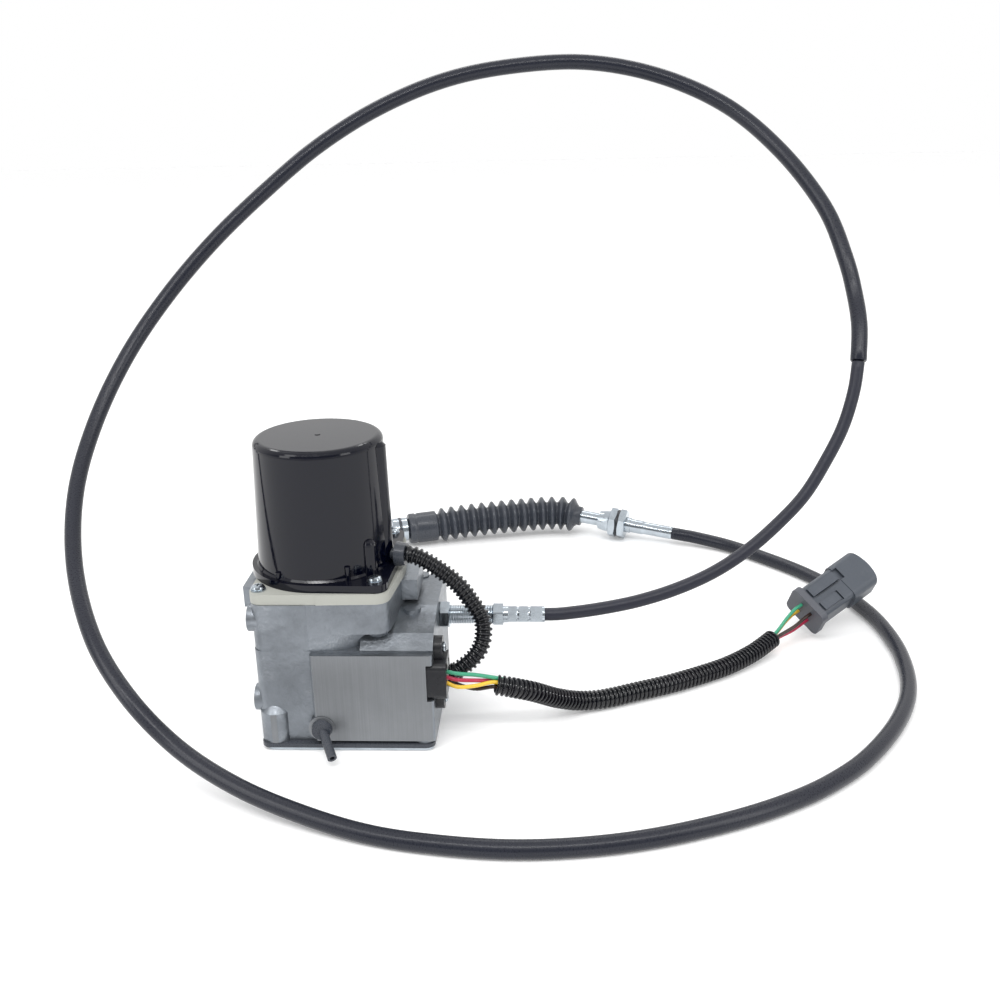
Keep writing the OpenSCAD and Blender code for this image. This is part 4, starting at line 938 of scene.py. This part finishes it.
@dataclass
class WiringHarness:
    """The two corrugated conduits, the four leads and the plug."""

    wire_diameter: float = 2.4
    motor_conduit_diameter: float = 11.0
    harness_diameter: float = 12.5
    rib_pitch: float = 3.0
    rib_depth: float = 1.35
    conduit_wall: float = 0.6
    mouth_depth: float = 8.0
    hole_spread: float = 1.7
    mouth_spread: float = 0.6
    middle_spread: float = 0.3
    mouth_gap: float = 1.1
    # Runs of a lead: on into the near mouth, in and out of the far one, up to and into its hole
    near_tail: float = 6.0
    far_mouth: Spot = (-5.0, 4.0)
    into_hole: Point = (-7.0, -2.0, 4.0)
    harness_length: float = 0.225
    # Share of a rib's pitch and depth below its crest
    rib: tuple[Spot, ...] = ((0.0, 1.35), (0.13, 1.3), (0.22, 0.5), (0.31, 0.1), (0.46, 0.0),
                             (0.6, 0.1), (0.7, 0.5), (0.8, 1.3))
    motor_route: list[Point] = field(default_factory=lambda: [
        (35.4, -7.8, 109), (39, -8.5, 108.9), (46, -9.7, 106), (55, -10.5, 100),
        (65.5, -11.5, 91), (72.5, -12.5, 81.5), (79.5, -15, 70), (80, -20.5, 59), (75.5, -26, 51),
        (66, -30, 44), (61, -30, 42)])
    harness_route: list[Point] = field(default_factory=lambda: [
        (88, -34, 36), (98, -32, 33), (110, -26, 27), (124, -14, 16), (138, -4, 8.5),
        (154, 2, 6.6), (174, 11, 6.6), (196, 21, 6.6), (217, 33, 6.6), (237, 46, 6.8),
        (256, 62, 8), (272, 78, 11)])
    plug_origin: Point = (297, 100, 20)
    plug_azimuth: float = 33.0
    plug_rise: float = 19.0
    plug_roll: float = 33.0
    leads: list[Lead] = field(default_factory=lambda: [
        Lead("yellow", [(59.2, -40, 40.7), (66, -41.5, 38.6), (76, -39.5, 38.3),
                        (86.2, -35, 38.3)], 2.6, 2.6),
        Lead("red", [(59.2, -38.5, 43.5), (66, -39.5, 42.2), (76, -37.5, 40.8),
                     (86.2, -32, 37.6)], -2.6, 2.6),
        Lead("green", [(59.2, -38, 46.8), (66, -39, 46), (76, -36.6, 44), (86.2, -33.4, 40.6)],
             2.6, -2.6),
        Lead("brown", [(59.2, -33, 39.8), (66, -33.4, 35.6), (76, -35, 33.8),
                       (86.2, -33.8, 34.6)], -2.6, -2.6)])

    def corrugated(self, name: str, route: list[Point], diameter: float) -> Built:
        """Build one corrugated conduit with a rounded rib at each pitch and hollow mouths.

        Args:
            name: The piece's name.
            route: Its route points in millimetres.
            diameter: Its outer diameter in millimetres.

        Returns:
            The piece and its path.
        """
        path = smooth_route(in_metres(route), COARSE_STEPS)
        full, r = path_length(path), diameter / 2
        ribs = round(full / (self.rib_pitch * MM))
        pitch = full / ribs
        inner, deep = (r - self.rib_depth - self.conduit_wall) * MM, self.mouth_depth * MM
        rings = [Ring(deep, inner), Ring(0.0, inner)]
        rings += [Ring(pitch * (k + at), (r - drop) * MM)
                  for k in range(ribs) for at, drop in self.rib]
        rings += [Ring(full, (r - self.rib_depth) * MM), Ring(full, inner),
                  Ring(full - deep, inner)]
        maker = MeshMaker()
        maker.sharp_from = 60.0
        maker.sweep(path, rings, sides=30)
        return maker.build(name), path

    def plug_axes(self) -> tuple[Vector, Vector, Vector]:
        """Give the plug's outward, sideways and upward directions."""
        azimuth, rise = math.radians(self.plug_azimuth), math.radians(self.plug_rise)
        out = Vector((math.cos(azimuth) * math.cos(rise), math.sin(azimuth) * math.cos(rise),
                      math.sin(rise)))
        level = Vector((-math.sin(azimuth), math.cos(azimuth), 0.0))
        roll = math.radians(self.plug_roll)
        side = math.cos(roll) * level + math.sin(roll) * out.cross(level)
        return out, side, out.cross(side)

    def build_lead(self, lead: Lead, wardrobe: Wardrobe) -> Object:
        """Build one wire: from the sensor into the conduit and from there into the plug.

        Args:
            lead: The wire.
            wardrobe: The maker of materials.

        Returns:
            The piece.
        """
        maker = MeshMaker()
        radius = self.wire_diameter / 2 * MM
        near = in_metres(lead.route)
        mouth = in_metres(self.harness_route)[:2]
        near.append(near[-1] + self.near_tail * MM * unit(mouth[1] - mouth[0]))
        maker.tube(smooth_route(near, FINE_STEPS), radius, sides=14, spacing=0.002)
        out, side, up = self.plug_axes()
        tail = in_metres(self.harness_route)[-2:]
        leave = unit(tail[1] - tail[0])
        spread = lead.across * side - lead.above * up
        hole = Vector(self.plug_origin) * MM + self.hole_spread * MM * spread
        start = tail[1] + MM * (self.mouth_gap * leave + self.mouth_spread * spread)
        route = [start + run * MM * leave for run in self.far_mouth]
        route += [(start + hole) / 2 + self.middle_spread * MM * lead.across * side]
        route += [hole + run * MM * out for run in self.into_hole]
        maker.tube(smooth_route(route, FINE_STEPS), radius, sides=14, spacing=0.002)
        return wardrobe.finish_piece(maker.build(f"lead_{lead.colour}"),
                                     WIRE_FINISHES[lead.colour], "base", f"wire_{lead.colour}")

    def build(self, wardrobe: Wardrobe) -> None:
        short, _ = self.corrugated("motor_conduit", self.motor_route,
                                   self.motor_conduit_diameter)
        wardrobe.finish_piece(short, CONDUIT, "base", "conduit_motor")
        long, path = self.corrugated("harness_conduit", self.harness_route,
                                     self.harness_diameter)
        wardrobe.finish_piece(long, CONDUIT, "base", "conduit_harness")
        leads = [self.build_lead(lead, wardrobe).name for lead in self.leads]
        log.info("harness %.3f m", path_length(path))


@dataclass(frozen=True)
class EarLayer:
    """One layer of the screw ears: its heights and the radii that its webs join."""

    name: str
    low: float
    high: float
    main_radius: float
    ear_radius: float
    finish: Finish


@dataclass
class ScrewEars:
    """Webs that run from the round flange to its screw ears along the common tangents."""

    centre: Spot = (-15.0, 2.0)
    ears: tuple[tuple[float, float, tuple[int, ...]], ...] = (
        (20.0, -36.0, (-1, 1)), (20.0, 40.0, (-1, 1)), (-50.0, 40.0, (-1,)))
    wall: float = 1.5
    arc_steps: int = 6
    layers: tuple[EarLayer, ...] = (
        EarLayer("flange_webs", 99.3, 104.02, 44.5, 7.4, COVER),
        EarLayer("spacer_webs", 93.0, 99.32, 47.5, 8.4, CREAM),
        EarLayer("boss_webs", 74.0, 93.02, 46.9, 8.0, CAST))

    def outline(self, layer: EarLayer, ear: Spot, side: int) -> list[Spot]:
        """Find the plan of one web.

        Args:
            layer: The layer that the web belongs to.
            ear: The centre of the ear.
            side: 1 or -1 for the tangent on the left or right of the ear, seen from the middle.

        Returns:
            The corners in order around the web.
        """
        across = (ear[0] - self.centre[0], ear[1] - self.centre[1])
        reach = math.hypot(*across)
        heading = math.atan2(across[1], across[0])
        turn = side * math.acos((layer.main_radius - layer.ear_radius) / reach)
        inner = [polar(self.centre, layer.main_radius - self.wall,
                       heading + turn * (1 - k / self.arc_steps))
                 for k in range(self.arc_steps + 1)]
        return [ear, polar(ear, layer.ear_radius, heading + turn),
                polar(self.centre, layer.main_radius, heading + turn)] + inner

    def build(self, wardrobe: Wardrobe) -> None:
        """Build the webs of every layer."""
        for layer in self.layers:
            maker = MeshMaker()
            for x, y, sides in self.ears:
                for side in sides:
                    plan = self.outline(layer, (x, y), side)
                    maker.prism(plan if side < 0 else plan[::-1], layer.low, layer.high)
            wardrobe.finish_piece(maker.build(layer.name), layer.finish, "base")


@dataclass
class CadPieces:
    """The pieces that keep their CAD form, by what they are made of."""

    looks: dict[Finish, tuple[str, ...]] = field(default_factory=lambda: {
        CAST: ("housing", "motor_nose"),
        COVER: ("motor_cover",),
        CREAM: ("spacer_plate",),
        RUBBER: ("bottom_gasket", "drain_grommet", "drain_tube", "conduit_gland",
                 "coupling_ring"),
        ZINC: ("bottom_cover", "bottom_screws", "spacer_screw", "cover_screws", "sensor_screws",
               "near_locknut", "near_fitting", "near_ferrule", "bearing_plate", "far_ferrule",
               "far_hub", "far_nuts", "swivel_tube", "coupling", "clevis"),
        DARK_WASHER: ("far_washer",),
        TURNED: ("motor_case", "motor_pinion", "drive_shaft", "plate_screws", "rack",
                 "sector_shaft", "sensor_shaft", "core_rod"),
        BRASS: ("drive_gear", "bushes", "rack_guide", "sensor_sector", "sector_bevel",
                "sensor_bevel", "plug_pins"),
        WINDING: ("armature",),
        MAGNET: ("motor_magnets",),
        CARD: ("brush_card",),
        MOULDED: ("sensor_body",),
        POTTING: ("sensor_potting",),
        PLUG_SHELL: ("plug_body",),
        PLUG_SEAL: ("plug_seal",),
        WEDGE: ("plug_wedge",)})

    def dress(self, wardrobe: Wardrobe) -> None:
        """Put the finishes on."""
        for finish, nodes in self.looks.items():
            wardrobe.dress(finish, *nodes)


def main() -> None:
    """Build the scene in order: camera, cable, harness, CAD pieces, ears, floor and light."""
    logging.basicConfig(level=logging.INFO, format="%(message)s")
    studio = Studio()
    studio.build_camera()
    wardrobe = Wardrobe(Effects())
    cable = ControlCable()
    stretches = cable.build(wardrobe)
    far = BellowsEnd()
    far.build_boot(wardrobe)
    far.build_core(wardrobe)
    WiringHarness().build(wardrobe)
    CadPieces().dress(wardrobe)
    ScrewEars().build(wardrobe)
    studio.build_floor()
    studio.build_light()
    bpy.context.scene.view_settings.view_transform = "Standard"


if __name__ == "__main__":
    main()
